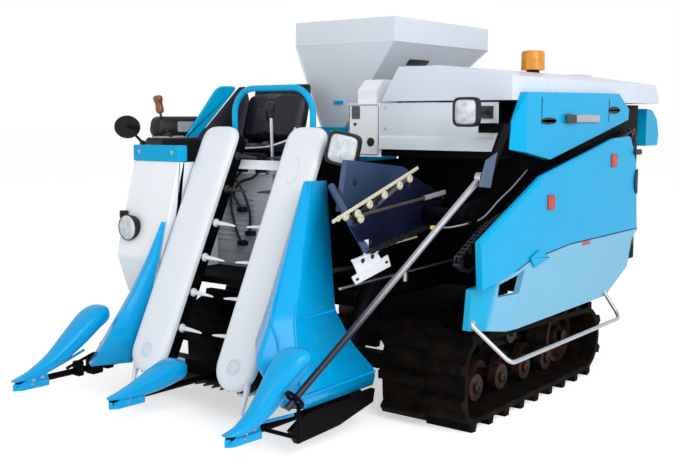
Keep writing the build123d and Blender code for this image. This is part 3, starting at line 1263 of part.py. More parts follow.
def work_lamp_left():
    """The lamp over the header, on a stalk from the upper conveyor plate."""
    lamp = left_work_lamp
    back_x, foot_z = lamp["x"] - work_lamp_depth / 4, lamp["z"] - work_lamp_size
    return work_lamp(lamp, [(back_x, lamp["y"], lamp["z"]), (back_x, lamp["y"], foot_z),
                            (back_x, upper_plate_y - seat_gap, foot_z)])


def track_left():
    """The left rubber track."""
    return track(1)


def track_right():
    """The right rubber track."""
    return track(-1)


def upper_conveyor_plate():
    """The slate plate beside the arms, hung on the pivot tube by its leg."""
    return conveyor_plate(upper_plate_outline, upper_plate_y, True)


def lower_conveyor_plate():
    """The indigo plate outside the star wheels."""
    return conveyor_plate(lower_plate_outline, lower_plate_y, False)


def left_header_cover():
    """The tall blue cover over the header's left end."""
    return header_cover(left_cover_sections, left_cover_inner_y)


def right_header_cover():
    """The slim blue cover between the right pick-up case and the front wall."""
    return header_cover(right_cover_sections, right_cover_inner_y)


pieces_to_make = (
    track_left, track_right, track_wheels, track_beams, chassis, thresher_body, thresher_front, control_box,
    drum_cover, upper_side_cover, beacon, hinge_pins, lower_side_panel, side_skirt, reflectors, panel_hinge,
    panel_post, guard_rod, feed_chain, feed_chain_rail, straw_outlet, straw_hood, grain_tank, tank_outlet,
    decks, bag_rail, front_wall_panel, front_strip, console, headlamp, mirror, seat, engine_hood, engine,
    side_guard, control_levers, pivot_ears, work_lamp_right, pole_bracket, header_frame, case_carriers,
    pickup_cases, pickup_tines, arch_guard, crop_dividers, knife, left_header_cover, right_header_cover,
    upper_conveyor_plate, lower_conveyor_plate, star_wheels, work_lamp_left, lift_barrel, lift_rod, side_pole)

os.makedirs("parts", exist_ok=True)
for make in pieces_to_make:
    export_step(make(), "parts/" + make.__name__ + ".step")
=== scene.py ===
import json
import math

import bmesh
import bpy
import numpy as np
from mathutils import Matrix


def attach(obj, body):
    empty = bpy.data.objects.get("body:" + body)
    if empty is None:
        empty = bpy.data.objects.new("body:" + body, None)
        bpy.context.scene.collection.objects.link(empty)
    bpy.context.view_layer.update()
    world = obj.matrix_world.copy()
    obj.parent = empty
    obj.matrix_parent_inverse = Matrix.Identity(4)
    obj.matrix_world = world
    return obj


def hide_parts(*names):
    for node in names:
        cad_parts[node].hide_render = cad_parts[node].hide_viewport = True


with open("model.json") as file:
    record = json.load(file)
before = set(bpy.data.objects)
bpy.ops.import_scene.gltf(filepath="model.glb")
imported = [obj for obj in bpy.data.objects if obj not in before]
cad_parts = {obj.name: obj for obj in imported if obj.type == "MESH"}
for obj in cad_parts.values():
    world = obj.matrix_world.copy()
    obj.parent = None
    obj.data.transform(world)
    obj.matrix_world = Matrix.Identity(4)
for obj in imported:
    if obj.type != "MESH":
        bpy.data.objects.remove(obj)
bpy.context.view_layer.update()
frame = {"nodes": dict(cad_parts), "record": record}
nodes = frame["nodes"]


# Shader groups: effects that more than one finish uses

def new_group(name, inputs, outputs):
    """A shader node group with named sockets; returns the tree and its input and output nodes."""
    tree = bpy.data.node_groups.new(name, "ShaderNodeTree")
    for socket, kind, value in inputs:
        made = tree.interface.new_socket(name=socket, in_out="INPUT", socket_type=kind)
        made.default_value = value
    for socket, kind in outputs:
        tree.interface.new_socket(name=socket, in_out="OUTPUT", socket_type=kind)
    return tree, tree.nodes.new("NodeGroupInput"), tree.nodes.new("NodeGroupOutput")


def add_node(tree, kind, values=(), **settings):
    """Adds a node, sets its properties by keyword and its inputs by (name or index, value)."""
    node = tree.nodes.new(kind)
    for key, value in settings.items():
        setattr(node, key, value)
    for key, value in values:
        node.inputs[key].default_value = value
    return node


def wire(tree, *rows):
    """Links sockets, each row as (node, output, node, input)."""
    for giver, out, taker, into in rows:
        tree.links.new(giver.outputs[out], taker.inputs[into])


def mottle_group():
    """Two noises mixed: a broad one that shifts the colour slightly and a fine one for the bump."""
    tree, given, result = new_group(
        "mottle",
        [("Base", "NodeSocketColor", (0.5, 0.5, 0.5, 1)), ("Scale", "NodeSocketFloat", 3.0),
         ("Amount", "NodeSocketFloat", 0.1), ("Grain", "NodeSocketFloat", 120.0),
         ("Rough Low", "NodeSocketFloat", 0.3), ("Rough High", "NodeSocketFloat", 0.45)],
        [("Color", "NodeSocketColor"), ("Roughness", "NodeSocketFloat"), ("Height", "NodeSocketFloat")])
    place = add_node(tree, "ShaderNodeTexCoord")
    broad = add_node(tree, "ShaderNodeTexNoise", [("Detail", 4.0)])
    fine = add_node(tree, "ShaderNodeTexNoise", [("Detail", 2.0)])
    wire(tree, (place, "Object", broad, "Vector"), (place, "Object", fine, "Vector"),
         (given, "Scale", broad, "Scale"), (given, "Grain", fine, "Scale"))
    darker = add_node(tree, "ShaderNodeMix", [("Factor", 1.0)], data_type="RGBA", blend_type="MULTIPLY")
    shift = add_node(tree, "ShaderNodeMapRange", [("From Min", 0.3), ("From Max", 0.7), ("To Max", 1.0)])
    least = add_node(tree, "ShaderNodeMath", [(0, 1.0)], operation="SUBTRACT")
    wire(tree, (given, "Amount", least, 1), (broad, "Fac", shift, "Value"), (least, 0, shift, "To Min"),
         (given, "Base", darker, "A"), (shift, "Result", darker, "B"))
    rough = add_node(tree, "ShaderNodeMapRange", [("From Min", 0.3), ("From Max", 0.7)])
    wire(tree, (broad, "Fac", rough, "Value"), (given, "Rough Low", rough, "To Min"),
         (given, "Rough High", rough, "To Max"), (darker, "Result", result, "Color"),
         (rough, "Result", result, "Roughness"), (fine, "Fac", result, "Height"))
    return tree


def dirt_group():
    """Dust and rust: a mask that is strong near the ground and breaks up with noise."""
    tree, given, result = new_group("ground dirt",
                                    [("Clean", "NodeSocketColor", (0.5, 0.5, 0.5, 1)),
                                     ("Dirt", "NodeSocketColor", (0.2, 0.12, 0.07, 1)),
                                     ("Reach", "NodeSocketFloat", 0.45), ("Scale", "NodeSocketFloat", 14.0),
                                     ("Amount", "NodeSocketFloat", 0.6)],
                                    [("Color", "NodeSocketColor"), ("Mask", "NodeSocketFloat")])
    place = add_node(tree, "ShaderNodeTexCoord")
    split = add_node(tree, "ShaderNodeSeparateXYZ")
    noise = add_node(tree, "ShaderNodeTexNoise", [("Detail", 6.0), ("Roughness", 0.65)])
    wire(tree, (place, "Object", split, 0), (place, "Object", noise, "Vector"),
         (given, "Scale", noise, "Scale"))
    low = add_node(tree, "ShaderNodeMapRange", [("From Min", 0.0), ("To Min", 1.0), ("To Max", 0.0)])
    wire(tree, (split, "Z", low, "Value"), (given, "Reach", low, "From Max"))
    broken = add_node(tree, "ShaderNodeMapRange", [("From Min", 0.42), ("From Max", 0.66)])
    wire(tree, (noise, "Fac", broken, "Value"))
    both = add_node(tree, "ShaderNodeMath", operation="MULTIPLY")
    wire(tree, (low, "Result", both, 0), (broken, "Result", both, 1))
    mask = add_node(tree, "ShaderNodeMath", operation="MULTIPLY")
    wire(tree, (both, 0, mask, 0), (given, "Amount", mask, 1))
    mix = add_node(tree, "ShaderNodeMix", data_type="RGBA")
    wire(tree, (mask, 0, mix, "Factor"), (given, "Clean", mix, "A"), (given, "Dirt", mix, "B"),
         (mix, "Result", result, "Color"), (mask, 0, result, "Mask"))
    return tree


def shade_group():
    """Two colours that change over between two places along an axis of object space, used to paint shade."""
    tree, given, result = new_group("axis shade",
                                    [("Low Color", "NodeSocketColor", (0.1, 0.1, 0.1, 1)),
                                     ("High Color", "NodeSocketColor", (0.5, 0.5, 0.5, 1)),
                                     ("From", "NodeSocketFloat", 0.5), ("To", "NodeSocketFloat", 0.9),
                                     ("Axis", "NodeSocketVector", (0, 0, 1))],
                                    [("Color", "NodeSocketColor")])
    place = add_node(tree, "ShaderNodeTexCoord")
    along = add_node(tree, "ShaderNodeVectorMath", operation="DOT_PRODUCT")
    share = add_node(tree, "ShaderNodeMapRange", interpolation_type="SMOOTHSTEP")
    mix = add_node(tree, "ShaderNodeMix", data_type="RGBA")
    wire(tree, (place, "Object", along, 0), (given, "Axis", along, 1), (along, "Value", share, "Value"),
         (given, "From", share, "From Min"), (given, "To", share, "From Max"),
         (share, "Result", mix, "Factor"), (given, "Low Color", mix, "A"), (given, "High Color", mix, "B"),
         (mix, "Result", result, "Color"))
    return tree


mottle = mottle_group()
axis_shade = shade_group()
ground_dirt = dirt_group()


def finish(name, colour, rough, amount=0.08, scale=3.0, grain=160.0, bump=0.02, metallic=0.0, coat=0.0,
           dirt=None, specular=0.5, shade=None):
    """A material: mottled colour and roughness, fine bump and clear coat; ground dirt, or a base colour that
    changes along an axis as painted shade, where asked."""
    made = bpy.data.materials.new(name)
    made.use_nodes = True
    tree = made.node_tree
    shader = tree.nodes["Principled BSDF"]
    shader.inputs["Metallic"].default_value = metallic
    shader.inputs["Coat Weight"].default_value = coat
    shader.inputs["Coat Roughness"].default_value = 0.06
    shader.inputs["Specular IOR Level"].default_value = specular
    link = tree.links.new
    mix = tree.nodes.new("ShaderNodeGroup")
    mix.node_tree = mottle
    for key, value in (("Base", (*colour, 1)), ("Scale", scale), ("Amount", amount), ("Grain", grain),
                       ("Rough Low", rough), ("Rough High", rough + 0.12)):
        mix.inputs[key].default_value = value
    colour_out = mix.outputs["Color"]
    if shade:
        shading = tree.nodes.new("ShaderNodeGroup")
        shading.node_tree = axis_shade
        for key, value in shade.items():
            shading.inputs[key].default_value = value
        link(shading.outputs["Color"], mix.inputs["Base"])
    if dirt:
        soil = tree.nodes.new("ShaderNodeGroup")
        soil.node_tree = ground_dirt
        for key, value in dirt.items():
            soil.inputs[key].default_value = value
        link(colour_out, soil.inputs["Clean"])
        colour_out = soil.outputs["Color"]
    link(colour_out, shader.inputs["Base Color"])
    wire(tree, (mix, "Roughness", shader, "Roughness"))
    if bump:
        relief = add_node(tree, "ShaderNodeBump", [("Strength", bump), ("Distance", 0.002)])
        link(mix.outputs["Height"], relief.inputs["Height"])
        link(relief.outputs["Normal"], shader.inputs["Normal"])
    return made


track_dirt = {"Dirt": (0.030, 0.017, 0.009, 1), "Reach": 0.9, "Scale": 14.0, "Amount": 0.4}
wheel_dirt = {"Dirt": (0.10, 0.035, 0.016, 1), "Reach": 0.8, "Scale": 22.0, "Amount": 0.7}
# The pole's colour runs from light steel at its top to near-black at its foot: painted shade.
pole_painted_shade = {"Low Color": (0.014, 0.015, 0.030, 1), "High Color": (0.42, 0.43, 0.47, 1), "From": 0.45,
              "To": 0.85}
# The side skirt turns to the deeper sky blue in front of skirt_edge, where the plate folds inwards: painted
# shade of the fold.
skirt_edge, skirt_blend = 0.72, 0.05
skirt_fold_painted_shade = {"Axis": (1, 0, 0.35), "Low Color": (0.19, 0.49, 0.70, 1),
               "High Color": (0.01, 0.39, 0.66, 1), "From": skirt_edge, "To": skirt_edge + skirt_blend}
finishes = {
    "sky_paint": finish("sky blue paint", (0.0, 0.39, 0.72), 0.22, 0.05, coat=0.03, bump=0.0, specular=0.12),
    # A brighter, bluer copy of the sky blue paint for the header: painted light that makes up for the lesser
    # light the header gets.
    "header_sky_paint_painted_light": finish("sky blue paint brightened as painted light", (0.0, 0.38, 0.78), 0.2, 0.05, coat=0.06, bump=0.0,
                             specular=0.2),
    # The light sky blue paint's front part is painted in the deeper blue as the fold's shade.
    "light_sky_paint": finish("light sky blue paint with painted fold shade", (0.19, 0.49, 0.70), 0.25, 0.06, coat=0.03, bump=0.0,
                              specular=0.12, shade=skirt_fold_painted_shade),
    "white_paint": finish("white paint", (0.86, 0.90, 0.94), 0.25, 0.03, coat=0.1, bump=0.0, specular=0.35),
    "cool_white": finish("cool white paint", (0.68, 0.74, 0.86), 0.25, 0.04, coat=0.08, bump=0.0,
                         specular=0.3),
    "pale_panel": finish("pale panel paint", (0.70, 0.76, 0.84), 0.28, 0.05, coat=0.1, bump=0.0,
                         specular=0.35),
    "slate_paint": finish("slate paint", (0.045, 0.080, 0.170), 0.28, 0.25, bump=0.0, specular=0.5),
    "indigo_paint": finish("indigo paint", (0.006, 0.008, 0.030), 0.22, 0.35, bump=0.0, specular=0.5),
    "black_paint": finish("black paint", (0.0018, 0.0018, 0.0026), 0.5, 0.3, bump=0.0, specular=0.05),
    "dark_steel": finish("dark steel", (0.055, 0.055, 0.06), 0.4, 0.3, metallic=0.6, specular=0.3),
    "chain_steel": finish("oiled chain steel", (0.050, 0.050, 0.060), 0.3, 0.5, scale=30.0, metallic=0.7),
    "bright_steel": finish("bright steel", (0.5, 0.51, 0.53), 0.25, 0.15, metallic=0.9),
    "track_rubber": finish("track rubber", (0.0016, 0.0015, 0.0015), 0.7, 0.3, grain=220, bump=0.15,
                           specular=0.06, dirt=track_dirt),
    "wheel_iron": finish("wheel iron", (0.008, 0.008, 0.008), 0.5, 0.3, dirt=wheel_dirt, specular=0.25),
    "engine_iron": finish("engine iron", (0.05, 0.05, 0.05), 0.6, 0.3),
    "amber_glass": finish("amber lens", (0.80, 0.30, 0.004), 0.16, 0.25, scale=30.0, coat=0.2),
    "red_glass": finish("red reflector", (0.50, 0.020, 0.012), 0.2, 0.25, scale=40.0, coat=0.1),
    "white_moulding": finish("white moulding", (0.80, 0.84, 0.89), 0.28, 0.04, coat=0.08, specular=0.35),
    "grey_moulding": finish("grey moulding", (0.36, 0.37, 0.39), 0.3, 0.06),
    "dark_plastic": finish("dark plastic", (0.007, 0.007, 0.008), 0.42, 0.2, grain=400, bump=0.08,
                           specular=0.3),
    "dark_rubber": finish("dark rubber", (0.016, 0.016, 0.016), 0.6, 0.2, grain=300, bump=0.08),
    "seat_vinyl": finish("seat vinyl", (0.006, 0.006, 0.011), 0.34, 0.2, grain=300, bump=0.15, specular=0.3),
    "lamp_glass": finish("lamp glass", (0.70, 0.75, 0.80), 0.15, 0.35, scale=34.0, coat=0.15),
    "dark_glass": finish("dark window", (0.02, 0.022, 0.026), 0.08, 0.1, coat=0.8),
    # The mirror face is painted near-black: a painted dark reflection.
    "mirror_painted_dark_reflection": finish("mirror face with painted dark reflection", (0.004, 0.004, 0.005), 0.08, 0.03, bump=0.0, specular=0.2),
    "cream_moulding": finish("cream moulding", (0.62, 0.60, 0.46), 0.3, 0.08, specular=0.35),
    "yellow_plug": finish("yellow plug", (0.75, 0.55, 0.03), 0.3, 0.1),
    # The pole's steel darkens towards its foot: painted shade.
    "pole_steel": finish("pole steel with painted shade", (0.42, 0.43, 0.47), 0.22, 0.2, metallic=0.7, shade=pole_painted_shade),
    "brown_rail": finish("brown rail", (0.085, 0.060, 0.055), 0.35, 0.3, scale=20.0),
    "brown_grip": finish("brown grip", (0.26, 0.070, 0.025), 0.25, 0.35, scale=18.0, coat=0.3),
}
slot_finish = {
    "blue_paint": "sky_paint", "light_blue_paint": "light_sky_paint", "pale_paint": "pale_panel",
    "amber_plastic": "amber_glass", "red_plastic": "red_glass", "white_plastic": "white_moulding",
    "lamp_white": "lamp_glass"}
for part in frame["record"]["subparts"]:
    node = nodes[part["node"]]
    node.data.materials.clear()
    node.data.materials.append(finishes[slot_finish.get(part["material_slot"], part["material_slot"])])
nodes["side_pole"].data.materials[0] = finishes["pole_steel"]
nodes["drum_cover"].data.materials[0] = finishes["cool_white"]


# The photograph's camera

view_yaw, view_pitch = math.radians(37.5), math.radians(6.53)
camera_data = bpy.data.cameras.new("photo camera")
camera_data.sensor_width = 36.0
camera_data.lens = 52.09
camera = bpy.data.objects.new("photo camera", camera_data)
bpy.context.scene.collection.objects.link(camera)
camera.location = (4.00, 2.705, 1.27)
camera.rotation_euler = (math.pi / 2 - view_pitch, 0, math.pi / 2 + view_yaw)
bpy.context.scene.camera = camera
bpy.context.scene.view_settings.view_transform = "Standard"


# Shapes: each is (points, list of face arrays); a face array holds one corner count

def grid_faces(rows, columns, closed=True):
    """Quads between neighbouring rows of a grid of points; closed joins the last column to the first."""
    i = np.arange(rows - 1)[:, None]
    j = np.arange(columns if closed else columns - 1)[None, :]
    k = (j + 1) % columns
    corners = np.broadcast_arrays(i * columns + j, i * columns + k, (i + 1) * columns + k,
                                  (i + 1) * columns + j)
    return np.stack(corners, axis=-1).reshape(-1, 4)


def joined(*shapes):
    """Several shapes in one: the points are stacked, each face array moved on by the points before it."""
    starts = np.cumsum([0] + [len(points) for points, _ in shapes])
    return (np.vstack([points for points, _ in shapes]),
            [face + start for (_, faces), start in zip(shapes, starts) for face in faces])


def repeated(shape, places, frames=None):
    """Copies of a shape: each point is turned by a place's three-axis frame and then moved to the place."""
    points, faces = shape
    places = np.atleast_2d(places).astype(float)
    if frames is None:
        frames = np.broadcast_to(np.eye(3), (len(places), 3, 3))
    all_points = np.einsum("pk,nkj->npj", points,
                           np.broadcast_to(frames, (len(places), 3, 3))) + places[:, None]
    shift = (np.arange(len(places)) * len(points))[:, None, None]
    return all_points.reshape(-1, 3), [(face[None] + shift).reshape(-1, face.shape[1]) for face in faces]


def through(points, count, closed=False):
    """A smooth line through points: cubic spans whose end slopes are half the step between neighbours."""
    given = np.asarray(points, float)
    if closed:
        given = np.vstack([given[-1:], given, given[:2]])
    else:
        given = np.vstack([2 * given[0] - given[1], given, 2 * given[-1] - given[-2]])
    spans = len(given) - 3
    way = np.linspace(0, spans, count, endpoint=not closed)
    k = np.minimum(way.astype(int), spans - 1)
    f = (way - k)[:, None]
    a, b, c, d = given[k], given[k + 1], given[k + 2], given[k + 3]
    return ((2 * f**3 - 3 * f**2 + 1) * b + (f**3 - 2 * f**2 + f) * (c - a) / 2
            + (3 * f**2 - 2 * f**3) * c + (f**3 - f**2) * (d - b) / 2)


def rounded(points, reach, steps=5, closed=True):
    """A line with soft corners: each becomes a parabola between the places a reach before and after it."""
    p = np.asarray(points, float)
    before, after = np.roll(p, 1, 0), np.roll(p, -1, 0)
    back, on = before - p, after - p
    back_long, on_long = np.linalg.norm(back, axis=1), np.linalg.norm(on, axis=1)
    reach = np.minimum(np.broadcast_to(reach, len(p)), np.minimum(back_long, on_long) * 0.49)[:, None]
    first, last = p + back / back_long[:, None] * reach, p + on / on_long[:, None] * reach
    t = np.linspace(0, 1, steps)[None, :, None]
    arcs = (1 - t)**2 * first[:, None] + 2 * t * (1 - t) * p[:, None] + t**2 * last[:, None]
    if closed:
        return arcs.reshape(-1, p.shape[1])
    return np.vstack([p[:1], arcs[1:-1].reshape(-1, p.shape[1]), p[-1:]])


def rings(stack):
    """A closed skin over a stack of equal rings, with a flat face on each end."""
    stack = np.asarray(stack, float)
    rows, columns = stack.shape[:2]
    ends = np.vstack([np.arange(columns)[::-1], np.arange(columns) + (rows - 1) * columns])
    return stack.reshape(-1, 3), [grid_faces(rows, columns), ends]


def carried(profile, path, up=(0, 0, 1), grow=None):
    """A profile (across, up) carried along a path: point = path + across times side + up times lift."""
    path, profile = np.asarray(path, float), np.asarray(profile, float)
    along = np.gradient(path, axis=0)
    along /= np.linalg.norm(along, axis=1)[:, None]
    side = np.cross(along, np.broadcast_to(np.asarray(up, float), along.shape))
    side /= np.linalg.norm(side, axis=1)[:, None]
    lift = np.cross(side, along)
    grow = np.ones(len(path)) if grow is None else np.asarray(grow, float)
    place = (profile[None, :, :1] * side[:, None] + profile[None, :, 1:] * lift[:, None]) * grow[:, None, None]
    return rings(path[:, None] + place)


def rectangle(left, low, right, high):
    """The four corners of a rectangle, anticlockwise from its lower left one."""
    return [(left, low), (right, low), (right, high), (left, high)]


def circle(radius, sides=12):
    """Points round a circle."""
    turn = np.linspace(0, 2 * np.pi, sides, endpoint=False)
    return np.stack([np.cos(turn), np.sin(turn)], axis=1) * radius


def tube(points, radius, sides=12, bend=0.0, up=(0, 0, 1), grow=None):
    """A round bar along a line, whose corners are softened by a bend."""
    path = rounded(points, bend, 6, closed=False) if bend else np.asarray(points, float)
    return carried(circle(radius, sides), path, up, grow)


def frame_of(axis):
    """Three unit axes as rows, the third along the given axis."""
    axis = np.asarray(axis, float) / np.linalg.norm(axis)
    help_axis = np.array([0.0, 0.0, 1.0]) if abs(axis[2]) < 0.9 else np.array([0.0, 1.0, 0.0])
    across = np.cross(help_axis, axis)
    across /= np.linalg.norm(across)
    return np.stack([across, np.cross(axis, across), axis])


def turned(profile, centre=(0, 0, 0), axis=(0, 0, 1), sides=24):
    """A turned shape: each (radius, height) of the profile becomes a circle at that height along the axis."""
    profile = np.asarray(profile, float)
    ring = circle(1.0, sides)
    flat = np.broadcast_to(ring, (len(profile), sides, 2)) * profile[:, :1, None]
    height = np.broadcast_to(profile[:, 1:2, None], (len(profile), sides, 1))
    points, faces = rings(np.concatenate([flat, height], axis=2))
    return points @ frame_of(axis) + np.asarray(centre, float), faces


def inset(outline, distance):
    """An outline moved inwards along the mean normal of its two edges at each point."""
    outline = np.asarray(outline, float)
    along = np.roll(outline, -1, 0) - np.roll(outline, 1, 0)
    along /= np.linalg.norm(along, axis=1)[:, None]
    turn = 1 if signed_area(outline) > 0 else -1
    return outline + turn * distance * np.stack([-along[:, 1], along[:, 0]], axis=1)


def signed_area(outline):
    """Half the sum of the cross products of neighbouring points."""
    ahead = np.roll(outline, -1, 0)
    return 0.5 * np.sum(outline[:, 0] * ahead[:, 1] - outline[:, 1] * ahead[:, 0])


def crowned(outline, steps, origin, right, up, out):
    """A pad: the outline is drawn in and raised by each (inset, rise), in a plane of right, up and out."""
    right, up, out = (np.asarray(v, float) for v in (right, up, out))
    layers = [inset(outline, way) for way, _ in steps]
    stack = [np.asarray(origin, float) + layer[:, :1] * right + layer[:, 1:] * up + rise * out
             for layer, (_, rise) in zip(layers, steps)]
    return rings(stack)


def soft_edge(thick, edge, steps=4):
    """(inset, rise) rows of a plate whose upper edge is a quarter circle."""
    turn = np.linspace(0, np.pi / 2, steps)
    return [(0.0, 0.0)] + [(edge * (1 - math.cos(a)), thick - edge + edge * math.sin(a)) for a in turn]


def block(low, high, edge=0.003, steps=3):
    """A block with round edges: a cube's points are drawn in to an inner box and put back by the edge's
    radius along the direction from it, so that every edge is a quarter circle."""
    low, high = np.asarray(low, float), np.asarray(high, float)
    half, middle = (high - low) / 2, (high + low) / 2
    edge = min(edge, float(half.min()) * 0.98)
    turn = np.tan(np.linspace(0, np.pi / 4, steps + 1))
    lean = np.concatenate([-turn[::-1], turn])
    sign = np.sign(np.concatenate([-np.ones(steps + 1), np.ones(steps + 1)]))
    n = len(lean)
    u, v = np.meshgrid(np.arange(n), np.arange(n), indexing="ij")
    points, faces = [], []
    for axis in range(3):
        for face_side in (-1, 1):
            place, away = np.zeros((n, n, 3)), np.zeros((n, n, 3))
            first, second = (axis + 1) % 3, (axis + 2) % 3
            place[..., axis], away[..., axis] = face_side, face_side
            place[..., first], away[..., first] = sign[u], lean[u]
            place[..., second], away[..., second] = sign[v], lean[v]
            away /= np.linalg.norm(away, axis=2)[..., None]
            points.append((middle + place * (half - edge) + away * edge).reshape(-1, 3))
            quads = grid_faces(n, n, closed=False)
            faces.append(quads if face_side > 0 else quads[:, ::-1])
    return joined(*[(p, [f]) for p, f in zip(points, faces)])


def slab(outline, low, high, axis, edge=0.002):
    """A flat plate with softened edges: an outline in the two other axes between two places on one."""
    outline = np.asarray(outline, float)
    units = np.eye(3)
    first, second = [(1, 2), (0, 2), (0, 1)][axis]
    edge = min(edge, (high - low) * 0.45)
    steps = [(edge, 0.0), (0.0, edge), (0.0, high - low - edge), (edge, high - low)]
    return crowned(outline, steps, units[axis] * low, units[first], units[second], units[axis])


def hex_heads(places, axis, radius=0.008, height=0.006):
    """Bolt heads: six-sided prisms with a small top slope, on round washers."""
    head = turned([(radius, 0.0), (radius, height * 0.8), (radius * 0.86, height)], sides=6)
    washer = turned([(radius * 1.45, -0.0005), (radius * 1.45, height * 0.25)], sides=14)
    return repeated(joined(head, washer), places, frame_of(axis))


def put(name, shape, finish_name, body="machine", stands_for=(), smooth=35.0, wall=None, weld=True):
    """Makes the mesh, welds its doubles, turns the faces outwards, gives a sheet its wall and lets it ride."""
    points, faces = shape
    mesh = bpy.data.meshes.new(name)
    mesh.from_pydata(points.tolist(), [], [row for face in faces for row in face.tolist()])
    work = bmesh.new()
    work.from_mesh(mesh)
    if weld:
        bmesh.ops.remove_doubles(work, verts=work.verts, dist=0.00002)
        bmesh.ops.dissolve_degenerate(work, edges=work.edges, dist=0.00002)
    bmesh.ops.recalc_face_normals(work, faces=work.faces)
    work.to_mesh(mesh)
    work.free()
    mesh.shade_smooth()
    mesh.set_sharp_from_angle(angle=math.radians(smooth))
    piece = bpy.data.objects.new(name, mesh)
    bpy.context.scene.collection.objects.link(piece)
    mesh.materials.append(finishes[finish_name])
    if wall:
        made = piece.modifiers.new("wall", "SOLIDIFY")
        made.thickness = wall
        made.offset = -1
    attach(piece, body)
    if stands_for:
        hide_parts(*([stands_for] if isinstance(stands_for, str) else stands_for))
    return piece


# Pick-up cases: a white crowned shell on a dark frame, with curved tines

case_foot = np.array([1.212, 0.0, 0.172])
case_top = np.array([0.690, 0.0, 1.232])
case_long = float(np.linalg.norm(case_top - case_foot))
case_up = (case_top - case_foot) / case_long
case_out = np.array([case_up[2], 0.0, -case_up[0]])
case_half = 0.1075
case_ys = {"right": -0.530, "left": -0.012}


def case_outline(margin=0.0):
    """Half a circle at the foot, straight sides, and a top whose corners are softened."""
    foot_turn = np.linspace(np.pi, 2 * np.pi, 25)
    foot_arc = np.stack([np.cos(foot_turn), 1 + np.sin(foot_turn)], axis=1) * case_half
    crown = rounded([(case_half, case_long * 0.5), (case_half, case_long), (-case_half, case_long),
                     (-case_half, case_long * 0.5)], 0.078, 9, closed=False)[1:-1]
    return inset(np.vstack([foot_arc, crown]), margin)


shell_steps = [(0.004, -0.034), (0.0, -0.032), (0.0, -0.024), (0.0018, -0.0165), (0.007, -0.0085),
               (0.0145, -0.0035), (0.025, -0.0008), (0.045, 0.0)]
for side, case_y in case_ys.items():
    origin = case_foot + (0, case_y, 0)
    shell = crowned(case_outline(), shell_steps, origin, (0, 1, 0), case_up, case_out)
    put("case_shell_" + side, shell, "white_moulding", "header",
        ["pickup_cases"] if side == "right" else (), smooth=50)
    seam = crowned(case_outline(0.011), [(0.0, -0.037), (0.0, -0.031)], origin, (0, 1, 0), case_up, case_out)
    frame_steps = [(0.006, -0.1), (0.003, -0.099), (0.0, -0.096), (0.0, -0.04), (0.004, -0.037)]
    back = crowned(case_outline(0.009), frame_steps, origin, (0, 1, 0), case_up, case_out)
    put("case_frame_" + side, joined(back, seam), "black_paint", "header")
    plug = turned([(0.036, -0.004), (0.036, 0.001), (0.033, 0.003), (0.0285, 0.0032), (0.0275, 0.0005),
                   (0.0255, 0.0005), (0.0245, 0.0028), (0.014, 0.0035), (0.013, 0.0015), (0.001, 0.0015)],
                  origin + case_up * 0.096, case_out, 40)
    put("case_plug_" + side, plug, "pale_panel", "header")
oval_at = case_foot + (0, case_ys["left"], 0) + case_up * 0.965
oval_line = oval_at + circle(1.0, 40) @ [(0, 0.031, 0), case_up * 0.06]
put("case_oval", tube(np.vstack([oval_line, oval_line[:1]]), 0.0022, 8, up=case_out), "pale_panel",
    "header", smooth=60)


def tine(length, root, tip, droop, sides=10):
    """A finger along +x that narrows and curls down: its centre falls with the square of the way out."""
    way = np.linspace(0, 1, 12)
    path = np.stack([way * length, np.zeros(12), -droop * way**2], axis=1)
    width = root + (tip - root) * way
    width = np.append(width[:-1], tip * 0.55)
    return carried(circle(1.0, sides) * (0.62, 1.0), path, (0, 0, 1), width)


finger = tine(0.125, 0.0120, 0.0040, 0.007)
collar = turned([(0.019, -0.002), (0.019, 0.005), (0.015, 0.009)], axis=(1, 0, 0), sides=14)
collar_piece = joined(finger, collar)
tine_shares = np.array([0.1, 0.24, 0.38, 0.52, 0.66, 0.8])
for side, turn in (("right", 1), ("left", -1)):
    places = (case_foot + (0, case_ys[side] + turn * case_half * 0.95, 0) + case_out * -0.062
              + case_up * (tine_shares[:, None] * case_long + case_half))
    out_frame = np.stack([(0, turn, 0), np.cross(case_up, (0, turn, 0)), case_up])
    put("tines_" + side, repeated(collar_piece, places[:4], out_frame), "white_moulding", "header",
        ["pickup_tines"] if side == "right" else (), smooth=60)
    put("upper_tines_" + side, repeated(collar_piece, places[4:], out_frame), "dark_rubber", "header",
        smooth=60)
hanging = [tube(through([(1.165, y, 0.235), (1.172, y - 0.004, 0.17), (1.182, y - 0.012, 0.115),
                         (1.192, y - 0.016, 0.075)], 14), 0.0155, 12, grow=np.linspace(1, 0.5, 14))
           for y in (-0.598, 0.066)]
put("hanging_tines", joined(*hanging), "white_moulding", "header", smooth=60)

# Crop dividers: horns whose rings swell from a flat tip to a round heel

divider_table = {"right": (-0.834, -0.846, 1.645, 0.425, 1.182),
                 "middle": (-0.310, -0.310, 1.568, 0.262, 1.212),
                 "left": (0.368, 0.474, 1.617, 0.455, 1.350)}
horn_rows = [(0.0, 0.0, 0.3, 0.12), (0.08, 0.012, 0.42, 0.24), (0.22, 0.06, 0.52, 0.5),
             (0.45, 0.25, 0.74, 0.84), (0.7, 0.60, 1.06, 1.10), (0.88, 0.88, 1.22, 1.16),
             (0.98, 0.98, 1.20, 1.10), (1.045, 1.02, 1.0, 0.86), (1.068, 1.025, 0.6, 0.5),
             (1.074, 1.026, 0.2, 0.16)]


